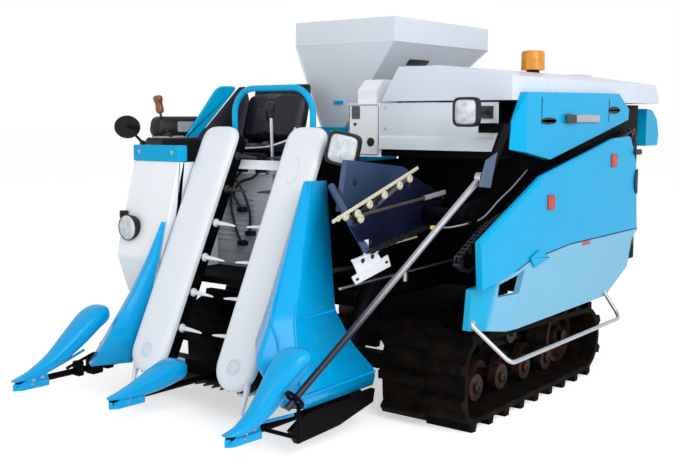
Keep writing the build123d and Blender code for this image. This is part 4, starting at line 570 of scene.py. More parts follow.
def horn(tip_y, heel_y, tip_x, heel_z, heel_x):
    """Oval rings on a line from tip to heel: the rise, width and height of each come from a smooth table."""
    way, rise, wide, high = through(horn_rows, 46).T
    first = 0.160 + horn_rows[0][3] * 0.042
    path = np.stack([tip_x - 0.004 - (tip_x - heel_x) * way, tip_y + (heel_y - tip_y) * way,
                     first + rise * (heel_z - 0.042 - first)], axis=1)
    along = np.gradient(path, axis=0)
    along /= np.linalg.norm(along, axis=1)[:, None]
    lift = np.stack([-along[:, 2], np.zeros(len(way)), along[:, 0]], axis=1)
    lift *= np.sign(lift[:, 2:3])
    oval = circle(1.0, 32)
    oval = np.sign(oval) * np.abs(oval) ** 0.74
    keel = np.where(oval[:, 1] > 0, oval[:, 1] * 0.9, oval[:, 1])
    ring = (oval[None, :, :1] * (0, 1, 0) * (wide * 0.054)[:, None, None]
            + keel[None, :, None] * lift[:, None] * (high * 0.042)[:, None, None])
    return rings(path[:, None] + ring)


put("crop_dividers", joined(*[horn(*row) for row in divider_table.values()]), "header_sky_paint_painted_light", "header",
    "crop_dividers", smooth=60)
for side, (tip_y, heel_y, tip_x, heel_z, heel_x) in divider_table.items():
    nose = slab([(tip_x - 0.002, tip_y), (tip_x - 0.03, tip_y + 0.024), (tip_x - 0.16, tip_y + 0.034),
                 (tip_x - 0.16, tip_y - 0.034), (tip_x - 0.03, tip_y - 0.024)], 0.122, 0.150, 2)
    cheek = slab([(tip_x - 0.005, 0.139), (tip_x - 0.07, 0.168), (tip_x - 0.16, 0.178),
                  (tip_x - 0.17, 0.139)], tip_y + 0.016, tip_y + 0.021, 1, 0.002)
    put("divider_shoe_" + side, joined(nose, cheek), "header_sky_paint_painted_light", "header")
    heads = hex_heads([(tip_x - 0.135, tip_y + 0.021, 0.158), (tip_x - 0.09, tip_y + 0.021, 0.155)],
                      (0, 1, 0), 0.006, 0.004)
    under = hex_heads([(tip_x - 0.14, tip_y + 0.026, 0.1415), (tip_x - 0.08, tip_y + 0.024, 0.1415)],
                      (0, 0, 1), 0.006, 0.004)
    put("divider_bolts_" + side, joined(heads, under), "bright_steel", "header")
stays = [tube([(1.47, -0.826, 0.176), (1.38, -0.828, 0.20), (1.275, -0.83, 0.232)], 0.006, 10),
         tube([(1.49, 0.405, 0.186), (1.40, 0.41, 0.180), (1.30, 0.415, 0.174)], 0.006, 10)]
put("divider_stays", joined(*stays), "header_sky_paint_painted_light", "header", smooth=60)
red_block = block((1.12, -0.83, 0.17), (1.20, -0.70, 0.262), 0.02)
put("right_foot_block", red_block, "red_glass", "header")


# Header covers: level sections whose corners are softened, with the ledge between two of the levels

left_rows = {
    "top": (1.004, 0.785, 0.168, 0.892, 0.170, 0.905, 0.140, 0.850),
    "ledge": (0.505, 0.950, 0.340, 1.225, 0.362, 1.300, 0.300, 1.100),
    "bulge": (0.365, 0.902, 0.392, 1.268, 0.408, 1.382, 0.300, 1.178),
    "skirt": (0.235, 0.790, 0.428, 1.262, 0.430, 1.325, 0.340, 1.080),
    "low": (0.1803, 0.806, 0.424, 1.235, 0.420, 1.288, 0.345, 1.030)}
right_rows = {
    "top": (0.790, 0.944, -0.660, 0.953, -0.663, 0.964, -0.650, 0.944),
    "upper": (0.640, 0.996, -0.690, 1.008, -0.696, 1.018, -0.672, 0.986),
    "middle": (0.480, 1.012, -0.738, 1.078, -0.742, 1.104, -0.690, 1.036),
    "low": (0.1803, 0.880, -0.790, 1.278, -0.796, 1.318, -0.730, 1.160)}


def cover_skin(rows, inner_y, bend, corner):
    """Level lines rear, crease, nose, inner edge: straight between the table's rows with softened bends, and
    closed on top by the first line drawn together towards its middle."""
    level = rounded(np.array(list(rows.values())), bend, 9, closed=False)
    levels = len(level)
    z, x0, y0, x1, y1, x2, y2, x3 = level.T
    corners = np.stack([np.stack([x0, y0], 1), np.stack([x1, y1], 1), np.stack([x2, y2], 1),
                        np.stack([x3, np.full(levels, inner_y)], 1)], axis=1)
    lines = np.stack([rounded(c, corner, 7, closed=False) for c in corners])
    sheet = np.concatenate([lines, np.broadcast_to(z[:, None, None], (*lines.shape[:2], 1))], axis=2)
    middle = sheet[0].mean(axis=0)
    lid = [middle + (sheet[0] - middle) * s + (0, 0, 0.004 * (1 - s)) for s in (0.04, 0.5, 0.93)]
    sheet = np.concatenate([np.stack(lid), sheet])
    return sheet.reshape(-1, 3), [grid_faces(len(sheet), sheet.shape[1], closed=False)]


put("left_header_cover", cover_skin(left_rows, 0.108, 0.045, (0, 0.007, 0.02, 0)), "header_sky_paint_painted_light",
    "header", "left_header_cover", smooth=28, wall=0.004)
put("right_header_cover", cover_skin(right_rows, -0.641, 0.09, (0, 0.006, 0.012, 0)), "header_sky_paint_painted_light",
    "header", "right_header_cover", smooth=28, wall=0.004)

crease_line = [(0.898, 0.170, 1.003), (0.98, 0.213, 0.86), (1.066, 0.2665, 0.74), (1.141, 0.312, 0.62),
               (1.222, 0.3605, 0.508), (1.250, 0.39, 0.42), (1.268, 0.408, 0.365), (1.264, 0.426, 0.26),
               (1.240, 0.422, 0.19)]
nose_line = [(0.914, 0.148, 0.985), (1.008, 0.190, 0.86), (1.108, 0.227, 0.74), (1.205, 0.262, 0.62),
             (1.286, 0.300, 0.515), (1.30, 0.343, 0.44), (1.315, 0.372, 0.36), (1.307, 0.377, 0.27),
             (1.289, 0.358, 0.2)]
ledge_line = [(0.955, 0.341, 0.505), (1.09, 0.351, 0.505), (1.222, 0.3615, 0.507)]
lip_line = [(0.80, 0.4285, 0.237), (1.03, 0.4295, 0.236), (1.255, 0.430, 0.236), (1.296, 0.376, 0.237)]
ridges = [tube(through(crease_line, 60), 0.0055, 10), tube(through(nose_line, 60), 0.0045, 10),
          tube(through(ledge_line, 24), 0.006, 10), tube(through(lip_line, 30), 0.005, 10)]
put("cover_ridges", joined(*ridges), "header_sky_paint_painted_light", "header", smooth=60)
links = [block((1.30, -0.845, 0.125), (1.33, -0.80, 0.19), 0.004),
         block((1.20, -0.845, 0.12), (1.26, -0.79, 0.20), 0.006),
         block((1.14, -0.83, 0.13), (1.18, -0.79, 0.19), 0.006),
         tube([(1.38, -0.82, 0.17), (1.25, -0.80, 0.215), (1.12, -0.79, 0.20)], 0.007, 10)]
put("divider_links", joined(*links), "black_paint", "header", smooth=50)


# Lamps, beacon and mirror

def square_rings(rows, centre, power=5.0, sides=56):
    """Superellipse rings |y|^n + |z|^n = size^n, one for each (size, place along x) row."""
    turn = np.linspace(0, 2 * np.pi, sides, endpoint=False)
    c, s = np.cos(turn), np.sin(turn)
    reach = (np.abs(c) ** power + np.abs(s) ** power) ** (-1 / power)
    rows = np.asarray(rows, float)
    flat = np.stack([np.zeros(sides), c * reach, s * reach], axis=1)
    return rings(flat * rows[:, :1, None] + rows[:, 1:, None] * (1, 0, 0) + np.asarray(centre, float))


def lamp_unit(name, centre, body, grow=1.0, roll=0.0, pan=0.0):
    """A square lamp that looks along +x: deep dish, bezel and a domed fluted glass."""
    dish = [(0.026, -0.036), (0.032, -0.035), (0.044, -0.020), (0.055, -0.004), (0.0605, 0.006),
            (0.061, 0.012), (0.061, 0.028), (0.059, 0.034), (0.055, 0.0355), (0.0515, 0.034),
            (0.0505, 0.026), (0.045, 0.010), (0.030, 0.0)]
    cr, sr, cp, sp = math.cos(roll), math.sin(roll), math.cos(pan), math.sin(pan)
    frame_now = np.array([(cp, sp, 0), (-sp * cr, cp * cr, sr), (sp * sr, -cp * sr, cr)]) * grow

    def aimed(shape):
        return (shape[0] - centre) @ frame_now + centre, shape[1]

    put(name + "_housing", aimed(square_rings(dish, centre)), "dark_plastic", body, smooth=50)
    glass = [(0.0512, 0.026), (0.0505, 0.0305), (0.045, 0.0335), (0.034, 0.0365), (0.02, 0.0385),
             (0.006, 0.039)]
    put(name + "_glass", aimed(square_rings(glass, centre)), "lamp_glass", body, smooth=60)
    flutes = [block(np.array(centre) + (0.030, y - 0.0018, -0.036),
                    np.array(centre) + (0.0385 - 9 * y * y, y + 0.0018, 0.036), 0.0015)
              for y in np.linspace(-0.036, 0.036, 7)]
    put(name + "_flutes", aimed(joined(*flutes)), "grey_moulding", body, smooth=60)


right_lamp, left_lamp = (0.450, 0.649, 1.288), (0.700, 0.183, 1.134)
lamp_unit("right_work_lamp", right_lamp, "machine")
lamp_unit("left_work_lamp", np.array(left_lamp) + (0, 0.014, 0), "header", 1.18, -0.22, 0.42)
stalk = joined(tube([(0.425, 0.649, 1.288), (0.36, 0.649, 1.288), (0.306, 0.649, 1.288)], 0.009),
               block((0.405, 0.632, 1.272), (0.428, 0.666, 1.304), 0.004),
               block((0.3045, 0.615, 1.262), (0.311, 0.683, 1.314), 0.002),
               hex_heads([(0.311, 0.63, 1.288), (0.311, 0.668, 1.288)], (1, 0, 0), 0.006, 0.005))
put("right_lamp_stalk", stalk, "dark_steel", stands_for="work_lamp_right")
foot_z = left_lamp[2] - 0.122
left_stalk = joined(tube([(0.6825, 0.183, left_lamp[2]), (0.6825, 0.183, foot_z), (0.6825, 0.2497, foot_z)],
                         0.009, bend=0.03, up=(1, 0, 0)),
                    block((0.664, 0.166, 1.118), (0.684, 0.2, 1.15), 0.004),
                    block((0.655, 0.243, 0.99), (0.71, 0.2497, 1.034), 0.002))
put("left_lamp_stalk", left_stalk, "dark_steel", "header", "work_lamp_left")

beacon_at = np.array([-0.635, 0.390, 1.4903])
base = turned([(0.034, 0.0), (0.034, 0.008), (0.031, 0.014)], beacon_at, (0, 0, 1), 32)
clips = block(beacon_at + (-0.058, -0.012, 0.012), beacon_at + (-0.046, 0.012, 0.06), 0.003)
put("beacon_base", joined(base, clips), "dark_plastic", "drum_cover")
ribs = np.linspace(0, 2 * np.pi, 96, endpoint=False)
rib_ring = np.stack([np.cos(ribs), np.sin(ribs)], 1) * (1 - 0.016 * (0.5 + 0.5 * np.cos(ribs * 24)))[:, None]
lens_rows = np.array([(0.046, 0.0135), (0.05, 0.016), (0.0495, 0.03), (0.0485, 0.07), (0.0475, 0.1),
                      (0.0455, 0.108), (0.04, 0.1115), (0.02, 0.1122), (0.002, 0.1124)])
lens_spread = 1.22
lens_rows[:, 0] *= lens_spread
lens = np.concatenate([rib_ring[None] * lens_rows[:, :1, None],
                       np.broadcast_to(lens_rows[:, 1:, None], (9, 96, 1))], axis=2)
put("beacon_lens", rings(lens + beacon_at), "amber_glass", "drum_cover", "beacon", smooth=25)

lamp_centre, lamp_axis = np.array([0.9605, -0.880, 0.752]), np.array([1.0, 0, 0])
bowl = turned([(0.03, -0.045), (0.05, -0.036), (0.0565, -0.02), (0.057, 0.0), (0.0615, 0.002),
               (0.062, 0.008), (0.059, 0.0115), (0.0595, 0.0112), (0.0585, 0.004)], lamp_centre, lamp_axis,
              48)
put("headlamp_bowl", bowl, "dark_plastic")
put("headlamp_face", turned([(0.0588, 0.006), (0.056, 0.0105), (0.035, 0.0125), (0.015, 0.0138),
                             (0.001, 0.014)], lamp_centre, lamp_axis, 48), "lamp_glass",
    stands_for="headlamp", smooth=60)

mirror_at = np.array([0.940, -0.895, 1.220])
mirror_axis = np.array([0.60, 0.66, -0.45])
back = turned([(0.004, -0.026), (0.03, -0.024), (0.05, -0.016), (0.058, -0.006), (0.06, -0.001),
               (0.058, 0.0), (0.056, -0.002)], mirror_at, mirror_axis, 44)
arm = tube(through([(0.826, -0.922, 1.1365), (0.828, -0.921, 1.146), (0.85, -0.921, 1.165),
                    (0.88, -0.918, 1.188), (0.915, -0.912, 1.213)], 26), 0.0065, 12)
nut = turned([(0.014, 0.0), (0.014, 0.014), (0.009, 0.02)], (0.826, -0.922, 1.1363), (0, 0, 1), 6)
put("mirror_back", joined(back, arm, nut), "dark_plastic", stands_for="mirror")
# The mirror's face is near-black: a painted dark reflection.
put("mirror_face", turned([(0.0562, -0.003), (0.0562, -0.0015), (0.03, -0.0005), (0.001, 0.0)], mirror_at,
                          mirror_axis, 44), "mirror_painted_dark_reflection", smooth=60)


# Operator's place: strip, front wall, console, levers, side guard, hood door and hoses

strip = block((0.792, -0.962, 1.0603), (0.852, -0.650, 1.136), 0.007)
put("front_strip", strip, "sky_paint", stands_for="front_strip")
strip_bolts = hex_heads([(0.852, -0.915, 1.104), (0.852, -0.690, 1.104)], (1, 0, 0), 0.007, 0.006)
put("strip_bolts", strip_bolts, "bright_steel")

wall_line = np.array([(0.846, 1.060), (0.871, 0.974), (0.970, 0.620), (0.905, 0.436), (0.862, 0.436),
                      (0.862, 0.560), (0.902, 0.620), (0.837, 0.974), (0.812, 1.060)])
put("front_wall", slab(rounded(wall_line, (0.001, 0.03, 0.02, 0.004, 0.004, 0.004, 0.01, 0.02, 0.001), 5),
                       -0.962, -0.650, 1, 0.006), "white_paint", stands_for="front_wall_panel", smooth=40)
small_switch = joined(block((0.918, -0.962, 0.79), (0.945, -0.925, 0.826), 0.004),
                      turned([(0.008, 0.0), (0.008, 0.01), (0.003, 0.012)], (0.944, -0.943, 0.808),
                             (1, 0, 0), 12))
put("wall_switch", small_switch, "dark_plastic")

console_panel = joined(block((0.2, -0.94, 1.166), (0.78, -0.84, 1.1705), 0.002),
                       block((0.62, -0.925, 1.168), (0.765, -0.852, 1.176), 0.004))
put("console_plate", console_panel, "grey_moulding")

boot_z = np.linspace(0, 0.07, 29)
boot_r = 0.04 - 0.024 * boot_z / 0.07 + 0.0035 * np.cos(boot_z / 0.07 * 2 * np.pi * 4)
boot_profile = np.stack([boot_r, boot_z], 1)
shift_axis = np.array([0.036, 0.0, 0.176])
shift_axis /= np.linalg.norm(shift_axis)
shift_foot = np.array([0.715, -0.888, 1.1685])
shift_stem = tube([shift_foot, shift_foot + shift_axis * 0.150], 0.006)
put("shift_boot", turned(boot_profile, shift_foot, shift_axis, 28), "dark_rubber", smooth=60)
knob_rows = through([(0.008, 0.118), (0.017, 0.124), (0.0205, 0.14), (0.0185, 0.158), (0.019, 0.172),
                     (0.0235, 0.186), (0.0215, 0.199), (0.012, 0.2055), (0.001, 0.2065)], 30)
put("shift_knob", turned(knob_rows, shift_foot, shift_axis, 32), "brown_grip", smooth=60)
lift_foot = np.array([0.541, -0.347, 1.0003])
lift_axis = np.array([0.008, 0.0, 0.312])
lift_axis /= np.linalg.norm(lift_axis)
lift_knob = turned(through([(0.009, 0.262), (0.017, 0.268), (0.019, 0.285), (0.0225, 0.303),
                            (0.0225, 0.322), (0.016, 0.334), (0.001, 0.3365)], 24), lift_foot, lift_axis,
                   28)
put("lift_knob", lift_knob, "dark_plastic", smooth=60)
lift_stem = joined(tube([lift_foot, lift_foot + lift_axis * 0.28], 0.0085),
                   turned(boot_profile * (0.9, 0.6), lift_foot, lift_axis, 24))
put("lever_stems", shift_stem, "dark_steel", stands_for="control_levers")
put("lift_lever_stem", lift_stem, "bright_steel")
lever_box = joined(block((0.534, -0.425, 1.246), (0.560, -0.368, 1.304), 0.004),
                   block((0.540, -0.37, 1.268), (0.552, -0.345, 1.280), 0.003))
put("lever_box", lever_box, "dark_plastic")

guard_line = np.array([(0.620, 1.1683), (0.535, 1.1683), (0.240, 1.424), (0.390, 1.424)])
put("side_guard", slab(rounded(guard_line, (0.006, 0.006, 0.05, 0.05), 8), -0.854, -0.838, 1, 0.006),
    "sky_paint", stands_for="side_guard", smooth=40)
hood_skin = joined(block((0.548, -0.81, 0.556), (0.5635, -0.335, 0.992), 0.006),
                   block((0.5635, -0.77, 0.62), (0.568, -0.375, 0.93), 0.004))
put("hood_door", hood_skin, "pale_panel")
hood_louvres = repeated(block((0.567, -0.71, -0.004), (0.5735, -0.435, 0.004), 0.0035),
                        [(0, 0, z) for z in np.linspace(0.68, 0.88, 9)])
put("hood_louvres", hood_louvres, "pale_panel")
hoses = [([(0.60, -0.66, 1.03), (0.615, -0.60, 1.02), (0.62, -0.53, 0.99), (0.615, -0.47, 0.92),
           (0.60, -0.44, 0.82), (0.59, -0.45, 0.72)], 40),
         ([(0.585, -0.50, 1.02), (0.60, -0.545, 0.95), (0.60, -0.56, 0.86), (0.595, -0.54, 0.75),
           (0.59, -0.50, 0.66)], 36), ([(0.59, -0.38, 1.02), (0.60, -0.42, 0.985), (0.61, -0.49, 0.96),
                                        (0.60, -0.54, 0.90), (0.59, -0.50, 0.83)], 36)]
put("hood_hoses", joined(*[tube(through(*hose), 0.0065, 10) for hose in hoses]), "dark_rubber", smooth=60)
clamps = [block((0.5635, y - 0.02, z - 0.012), (0.605, y + 0.02, z + 0.012), 0.004) for y,
          z in ((-0.45, 0.72), (-0.50, 0.67), (-0.50, 0.83), (-0.66, 1.03), (-0.50, 1.02), (-0.38, 1.02))]
put("hose_clamps", joined(*clamps), "dark_plastic")
wall_return = block((0.60, -0.663, 0.556), (0.835, -0.651, 1.058), 0.003)
put("wall_return", wall_return, "white_paint")
side_panel = slab(rounded([(0.54, 1.170), (0.245, 1.420), (0.195, 1.424), (0.17, 1.36), (0.20, 1.0),
                           (0.50, 1.0)], 0.012, 4), -0.838, -0.829, 1, 0.003)
put("seat_side_panel", side_panel, "seat_vinyl", smooth=50)
rest = rounded([(0.44, 1.1705), (0.755, 1.1705), (0.775, 1.20), (0.762, 1.255), (0.735, 1.27), (0.50, 1.27),
                (0.46, 1.24)], 0.02, 6)
put("console_rest", slab(rest, -0.94, -0.860, 1, 0.012), "dark_plastic", smooth=50)
rest_plate = rounded([(0.50, 1.195), (0.655, 1.195), (0.655, 1.245), (0.52, 1.245)], 0.008, 4)
put("console_rest_plate", slab(rest_plate, -0.861, -0.8575, 1, 0.001), "grey_moulding")


# Seat: two padded pieces, blown up by a cloth run, on a moulded tray with a white piping

def pad_form(path, half_width, thick, bolster, sides=40):
    """A closed pad along a side-view path: superellipse rings whose side thirds rise into bolsters."""
    turn = np.linspace(0, 2 * np.pi, sides, endpoint=False)
    across = np.sign(np.cos(turn)) * np.abs(np.cos(turn)) ** 0.45
    lift = np.sign(np.sin(turn)) * np.abs(np.sin(turn)) ** 0.6
    raise_by = bolster * np.clip((np.abs(across) - 0.45) / 0.55, 0, 1) ** 1.6
    path = np.asarray(path, float)
    along = np.gradient(path, axis=0)
    along /= np.linalg.norm(along, axis=1)[:, None]
    normal = np.stack([-along[:, 2], np.zeros(len(path)), along[:, 0]], axis=1)
    end = np.linspace(-1, 1, len(path))
    ease = np.sqrt(np.clip(1 - np.abs(end) ** 8, 0.05, 1))
    ring = (path[:, None] + np.array([0, 1, 0]) * (across * half_width)[None, :, None] * ease[:, None, None]
            + normal[:, None] * ((lift * thick / 2)[None, :] * ease[:, None] + raise_by[None, :])[..., None])
    return rings(ring)


def swell(piece, pressure, cap):
    """The cloth run: remesh to voxels, blow up for 20 frames without gravity, cap each point's way, apply."""
    bpy.context.view_layer.objects.active = piece
    remesh = piece.modifiers.new("voxels", "REMESH")
    remesh.mode = "VOXEL"
    remesh.voxel_size = 0.006
    graph = bpy.context.evaluated_depsgraph_get()
    dense = bpy.data.meshes.new_from_object(piece.evaluated_get(graph))
    piece.modifiers.clear()
    dense.materials.clear()
    dense.materials.append(piece.data.materials[0])
    piece.data = dense
    start = np.empty(len(dense.vertices) * 3)
    dense.vertices.foreach_get("co", start)
    start = start.reshape(-1, 3)
    cloth = piece.modifiers.new("cloth", "CLOTH")
    cloth.settings.use_pressure = True
    cloth.settings.uniform_pressure_force = pressure
    cloth.settings.effector_weights.gravity = 0
    scene = bpy.context.scene
    for step in range(1, 21):
        scene.frame_set(step)
    graph = bpy.context.evaluated_depsgraph_get()
    blown = bpy.data.meshes.new_from_object(piece.evaluated_get(graph))
    ended = np.empty(len(blown.vertices) * 3)
    blown.vertices.foreach_get("co", ended)
    move = ended.reshape(-1, 3) - start
    far = np.linalg.norm(move, axis=1)[:, None]
    move *= np.minimum(1.0, cap / np.maximum(far, 1e-9))
    piece.modifiers.clear()
    dense.vertices.foreach_set("co", (start + move).ravel())
    dense.update()
    scene.frame_set(1)


seat_y = -0.619
cushion_path = through([(0.235, seat_y, 1.098), (0.3, seat_y, 1.099), (0.4, seat_y, 1.104),
                        (0.452, seat_y, 1.108), (0.481, seat_y, 1.1)], 30)
back_path = through([(0.278, seat_y, 1.145), (0.256, seat_y, 1.2), (0.232, seat_y, 1.27),
                     (0.21, seat_y, 1.34), (0.199, seat_y, 1.392)], 34)
cushion = put("seat_cushion", pad_form(cushion_path, 0.186, 0.052, 0.026), "seat_vinyl", stands_for="seat",
              smooth=80)
seat_back = put("seat_back", pad_form(back_path[::-1], 0.196, 0.055, -0.03), "seat_vinyl", smooth=80)
swell(cushion, 4.0, 0.008)
swell(seat_back, 4.0, 0.008)
tray_path = through([(0.489, seat_y, 1.093), (0.47, seat_y, 1.068), (0.4, seat_y, 1.0635),
                     (0.28, seat_y, 1.0635), (0.222, seat_y, 1.1), (0.195, seat_y, 1.2),
                     (0.165, seat_y, 1.32), (0.152, seat_y, 1.412), (0.17, seat_y, 1.425)], 60)
tray_profile = rounded(rectangle(-0.185, -0.006, 0.185, 0.006), 0.006, 4)
put("seat_tray", carried(tray_profile, tray_path, (1, 0, 1)), "dark_plastic", smooth=50)
lip = through([(0.285, seat_y + 0.196, 1.215), (0.33, seat_y + 0.2, 1.165), (0.42, seat_y + 0.198, 1.139),
               (0.478, seat_y + 0.16, 1.124), (0.492, seat_y, 1.116), (0.478, seat_y - 0.16, 1.124),
               (0.42, seat_y - 0.198, 1.139), (0.33, seat_y - 0.2, 1.165), (0.285, seat_y - 0.196, 1.215)],
              90)
put("seat_piping", tube(lip, 0.0042, 8), "white_moulding", smooth=60)


# Hopper: rim, seams, slot plate, the flange's bolts and the gate's lever

rim = rounded([(0.060, -0.604), (0.060, 0.008), (-0.850, 0.008), (-0.850, -0.604)], 0.004, 3)
rim_path = np.column_stack([inset(rim, 0.0045), np.full(len(rim), 1.7405)])
closed_path = np.vstack([rim_path, rim_path[:1]])
put("hopper_rim", tube(closed_path, 0.0045, 10), "pale_panel", smooth=60)
foot_corners = np.array([(-0.020, -0.500, 1.215), (-0.020, -0.350, 1.215), (-0.560, -0.350, 1.215),
                         (-0.560, -0.500, 1.215)])
band_corners = np.array([(0.060, -0.604, 1.630), (0.060, 0.008, 1.630), (-0.850, 0.008, 1.630),
                         (-0.850, -0.604, 1.630)])
seams = [tube([low + (high - low) * 0.01, high], 0.004, 8, up=(1, 0, 0.3)) for low,
         high in zip(foot_corners, band_corners)]
band_line = np.vstack([band_corners, band_corners[:1]])
inward = 0.0015 * np.array([(-1, 1, 0), (-1, -1, 0), (1, -1, 0), (1, 1, 0), (-1, 1, 0)])
put("hopper_seams", joined(*seams, tube(band_line + inward, 0.0032, 8)), "pale_panel", smooth=60)
plate_low, plate_high = np.array([-0.17, -0.0655, 1.5405]), np.array([-0.35, -0.0655, 1.5405])
wall_run, wall_rise = 0.358, 0.415
wall_long = np.linalg.norm([wall_run, wall_rise])
slope = np.array([0, wall_run, wall_rise]) / wall_long
slope_out = np.array([0, wall_rise, -wall_run]) / wall_long
plate = crowned(rounded(rectangle(-0.09, -0.018, 0.09, 0.018), 0.006), soft_edge(0.004, 0.002),
                (plate_low + plate_high) / 2, (1, 0, 0), slope, slope_out)
put("hopper_slot", plate, "dark_plastic")
side_line = [(x, -0.3235, 1.192) for x in np.linspace(-0.55, -0.02, 8)]
front_line = [(0.006, y, 1.192) for y in (-0.48, -0.42, -0.36)]
side_bolts = hex_heads(side_line, (0, 1, 0), 0.007, 0.005)
front_bolts = hex_heads(front_line, (1, 0, 0), 0.007, 0.005)
put("flange_bolts", joined(side_bolts, front_bolts), "bright_steel")
lever = joined(slab([(-0.399, 1.338), (-0.365, 1.338), (-0.362, 1.444), (-0.378, 1.452), (-0.397, 1.444)],
                    -0.019, -0.013, 0, 0.002),
               slab(rectangle(-0.395, 1.332, -0.340, 1.35), -0.019, 0.012, 0, 0.002))
put("gate_lever", lever, "sky_paint")
gate_shaft = joined(tube([(-0.016, -0.352, 1.372), (-0.016, -0.300, 1.372)], 0.014, 16, up=(0, 0, 1)),
                    tube([(-0.016, -0.40, 1.372), (-0.016, -0.352, 1.372)], 0.007, 12, up=(0, 0, 1)))
put("gate_shaft", gate_shaft, "dark_steel")

# Thresher front: the control box's window, lock and disc, and the panel's seam and screws

window = rounded(rectangle(-0.061, 1.258, -0.014, 1.318), 0.006)
put("box_window", slab(window, 0.3035, 0.3065, 0, 0.001), "dark_glass")
lock = joined(turned([(0.007, 0.0), (0.007, 0.004), (0.002, 0.0045)], (0.3038, -0.041, 1.234), (1, 0, 0),
                     20), turned([(0.02, 0.0), (0.02, 0.003), (0.017, 0.004), (0.002, 0.0045)],
                                 (0.3038, 0.048, 1.153), (1, 0, 0), 28))
put("box_fittings", lock, "dark_plastic")
door_line = rounded(rectangle(-0.075, 1.095, 0.09, 1.322), 0.01)
door_ring = np.column_stack([np.full(len(door_line), 0.3042), door_line])
put("box_seam", tube(np.vstack([door_ring, door_ring[:1]]), 0.0016, 6, up=(1, 0, 0)), "dark_plastic",
    smooth=60)
screws = hex_heads([(0.3042, y, z) for y in (0.13, 0.66) for z in (1.215, 1.31)], (1, 0, 0), 0.006, 0.004)
put("front_screws", screws, "bright_steel")

# Upper side cover: oval grips, slits and latch

def oval_cup(x, z, y, wide, high):
    """A dark oval recess plate with a raised rim on a wall that faces +y."""
    return crowned(circle(1.0, 32) * (wide / 2, high / 2),
                   [(0, 0.0), (0, 0.002), (0.002, 0.0035), (0.004, 0.003), (0.006, 0.0005),
                    (0.012, 0.0005)], (x, y, z), (1, 0, 0), (0, 0, 1), (0, 1, 0))


cover_y = 0.8063
cups = joined(oval_cup(0.034, 1.250, cover_y, 0.15, 0.030), oval_cup(-0.690, 1.300, cover_y, 0.145, 0.036))
slits = joined(block((0.101, cover_y - 0.001, 1.235), (0.107, cover_y + 0.0014, 1.352), 0.0006),
               block((-0.631, cover_y - 0.001, 1.245), (-0.624, cover_y + 0.0014, 1.352), 0.0006))
put("cover_cups", joined(cups, slits), "dark_plastic", "drum_cover")
latch = rounded([(-0.495, 1.24), (-0.128, 1.2415), (-0.128, 1.268), (-0.30, 1.279), (-0.495, 1.277)], 0.012, 5)
put("cover_latch", slab(latch, cover_y, cover_y + 0.012, 1, 0.004), "bright_steel", "drum_cover")
grip = rounded([(-0.22, 1.238), (-0.118, 1.238), (-0.118, 1.282), (-0.22, 1.276)], 0.008, 4)
put("cover_latch_grip", slab(grip, cover_y + 0.011, cover_y + 0.017, 1, 0.002), "dark_steel", "drum_cover")


# Swinging side panel: framed reflectors, handle, catch, the port's flap, a black sheet in the port as painted
# shade, seam and the rod's nuts

panel_y = 0.8643
reflectors = joined(block((0.094, panel_y, 0.879), (0.146, panel_y + 0.0075, 0.931), 0.003),
                    block((-0.586, panel_y, 1.034), (-0.534, panel_y + 0.0075, 1.086), 0.003))
put("reflectors", reflectors, "red_glass", "side_cover", "reflectors")
frames = []
for x, z in ((0.120, 0.905), (-0.560, 1.060)):
    outer = rounded(rectangle(x - 0.032, z - 0.032, x + 0.032, z + 0.032), 0.008, 5)
    frames.append(crowned(outer, [(0, 0.0), (0, 0.006), (0.002, 0.008), (0.005, 0.008), (0.0065, 0.0055),
                                  (0.008, 0.001)], (0, panel_y, 0), (1, 0, 0), (0, 0, 1), (0, 1, 0)))
put("reflector_frames", joined(*frames), "red_glass", "side_cover")
handle_line = rounded(rectangle(-0.905, 1.077, -0.812, 1.106), 0.012, 5)
put("panel_handle", slab(handle_line, panel_y - 0.002, panel_y + 0.012, 1, 0.005), "dark_plastic", "side_cover")
half_turn = np.linspace(-np.pi / 2, np.pi / 2, 18)
half_line = np.stack([-0.868 + 0.04 * np.cos(half_turn), 0.943 + 0.062 * np.sin(half_turn)], axis=1)
put("panel_catch", slab(half_line, panel_y - 0.001, panel_y + 0.008, 1, 0.003), "dark_plastic", "side_cover")
flap = rounded([(0.314, 0.685), (0.223, 0.711), (0.128, 0.668), (0.274, 0.640)], 0.014, 6)
put("port_flap", slab(flap, panel_y + 0.0003, panel_y + 0.011, 1, 0.004), "sky_paint", "side_cover")
# A black sheet behind the port: painted shade inside the opening.
port_shade_sheet = slab([(0.56, 0.53), (0.33, 0.53), (0.32, 0.665), (0.56, 0.62)], 0.776, 0.780, 1, 0.001)
put("port_painted_shade_sheet", port_shade_sheet, "black_paint", "side_cover")
mark = block((-0.308, panel_y - 0.004, 0.681), (-0.222, panel_y + 0.0015, 0.697), 0.0008)
put("small_patch", mark, "red_glass", "side_cover")
seam_line = np.array([(-0.90, panel_y - 0.001, 0.702), (-0.09, panel_y - 0.001, 0.702),
                      (0.290, panel_y - 0.001, 0.675), (0.41, panel_y - 0.001, 0.646)])
put("panel_seam", tube(seam_line, 0.0022, 6, bend=0.05), "dark_rubber", "side_cover",
    smooth=60)
rod_feet = joined(hex_heads([(-0.493, panel_y, 0.428)], (0, 1, 0), 0.012, 0.008),
                  hex_heads([(0.68, panel_y - 0.052, 0.458)], (0.16, 1, 0), 0.012, 0.008))
put("guard_rod_nuts", rod_feet, "bright_steel", "side_cover")


# Feed chain: side plates, rollers and hooked fingers along the chain's loop

chain_run = np.array([(0.690, 0.700), (0.470, 0.815), (-1.130, 1.200)])
chain_back = np.array([(-1.130, 1.116), (0.428, 0.731), (0.606, 0.658)])
chain_loop = rounded(np.vstack([chain_run, chain_back]), (0.03, 0.08, 0.038, 0.038, 0.08, 0.03), 12)
chain_line = rounded(chain_run, 0.08, 14, closed=False)


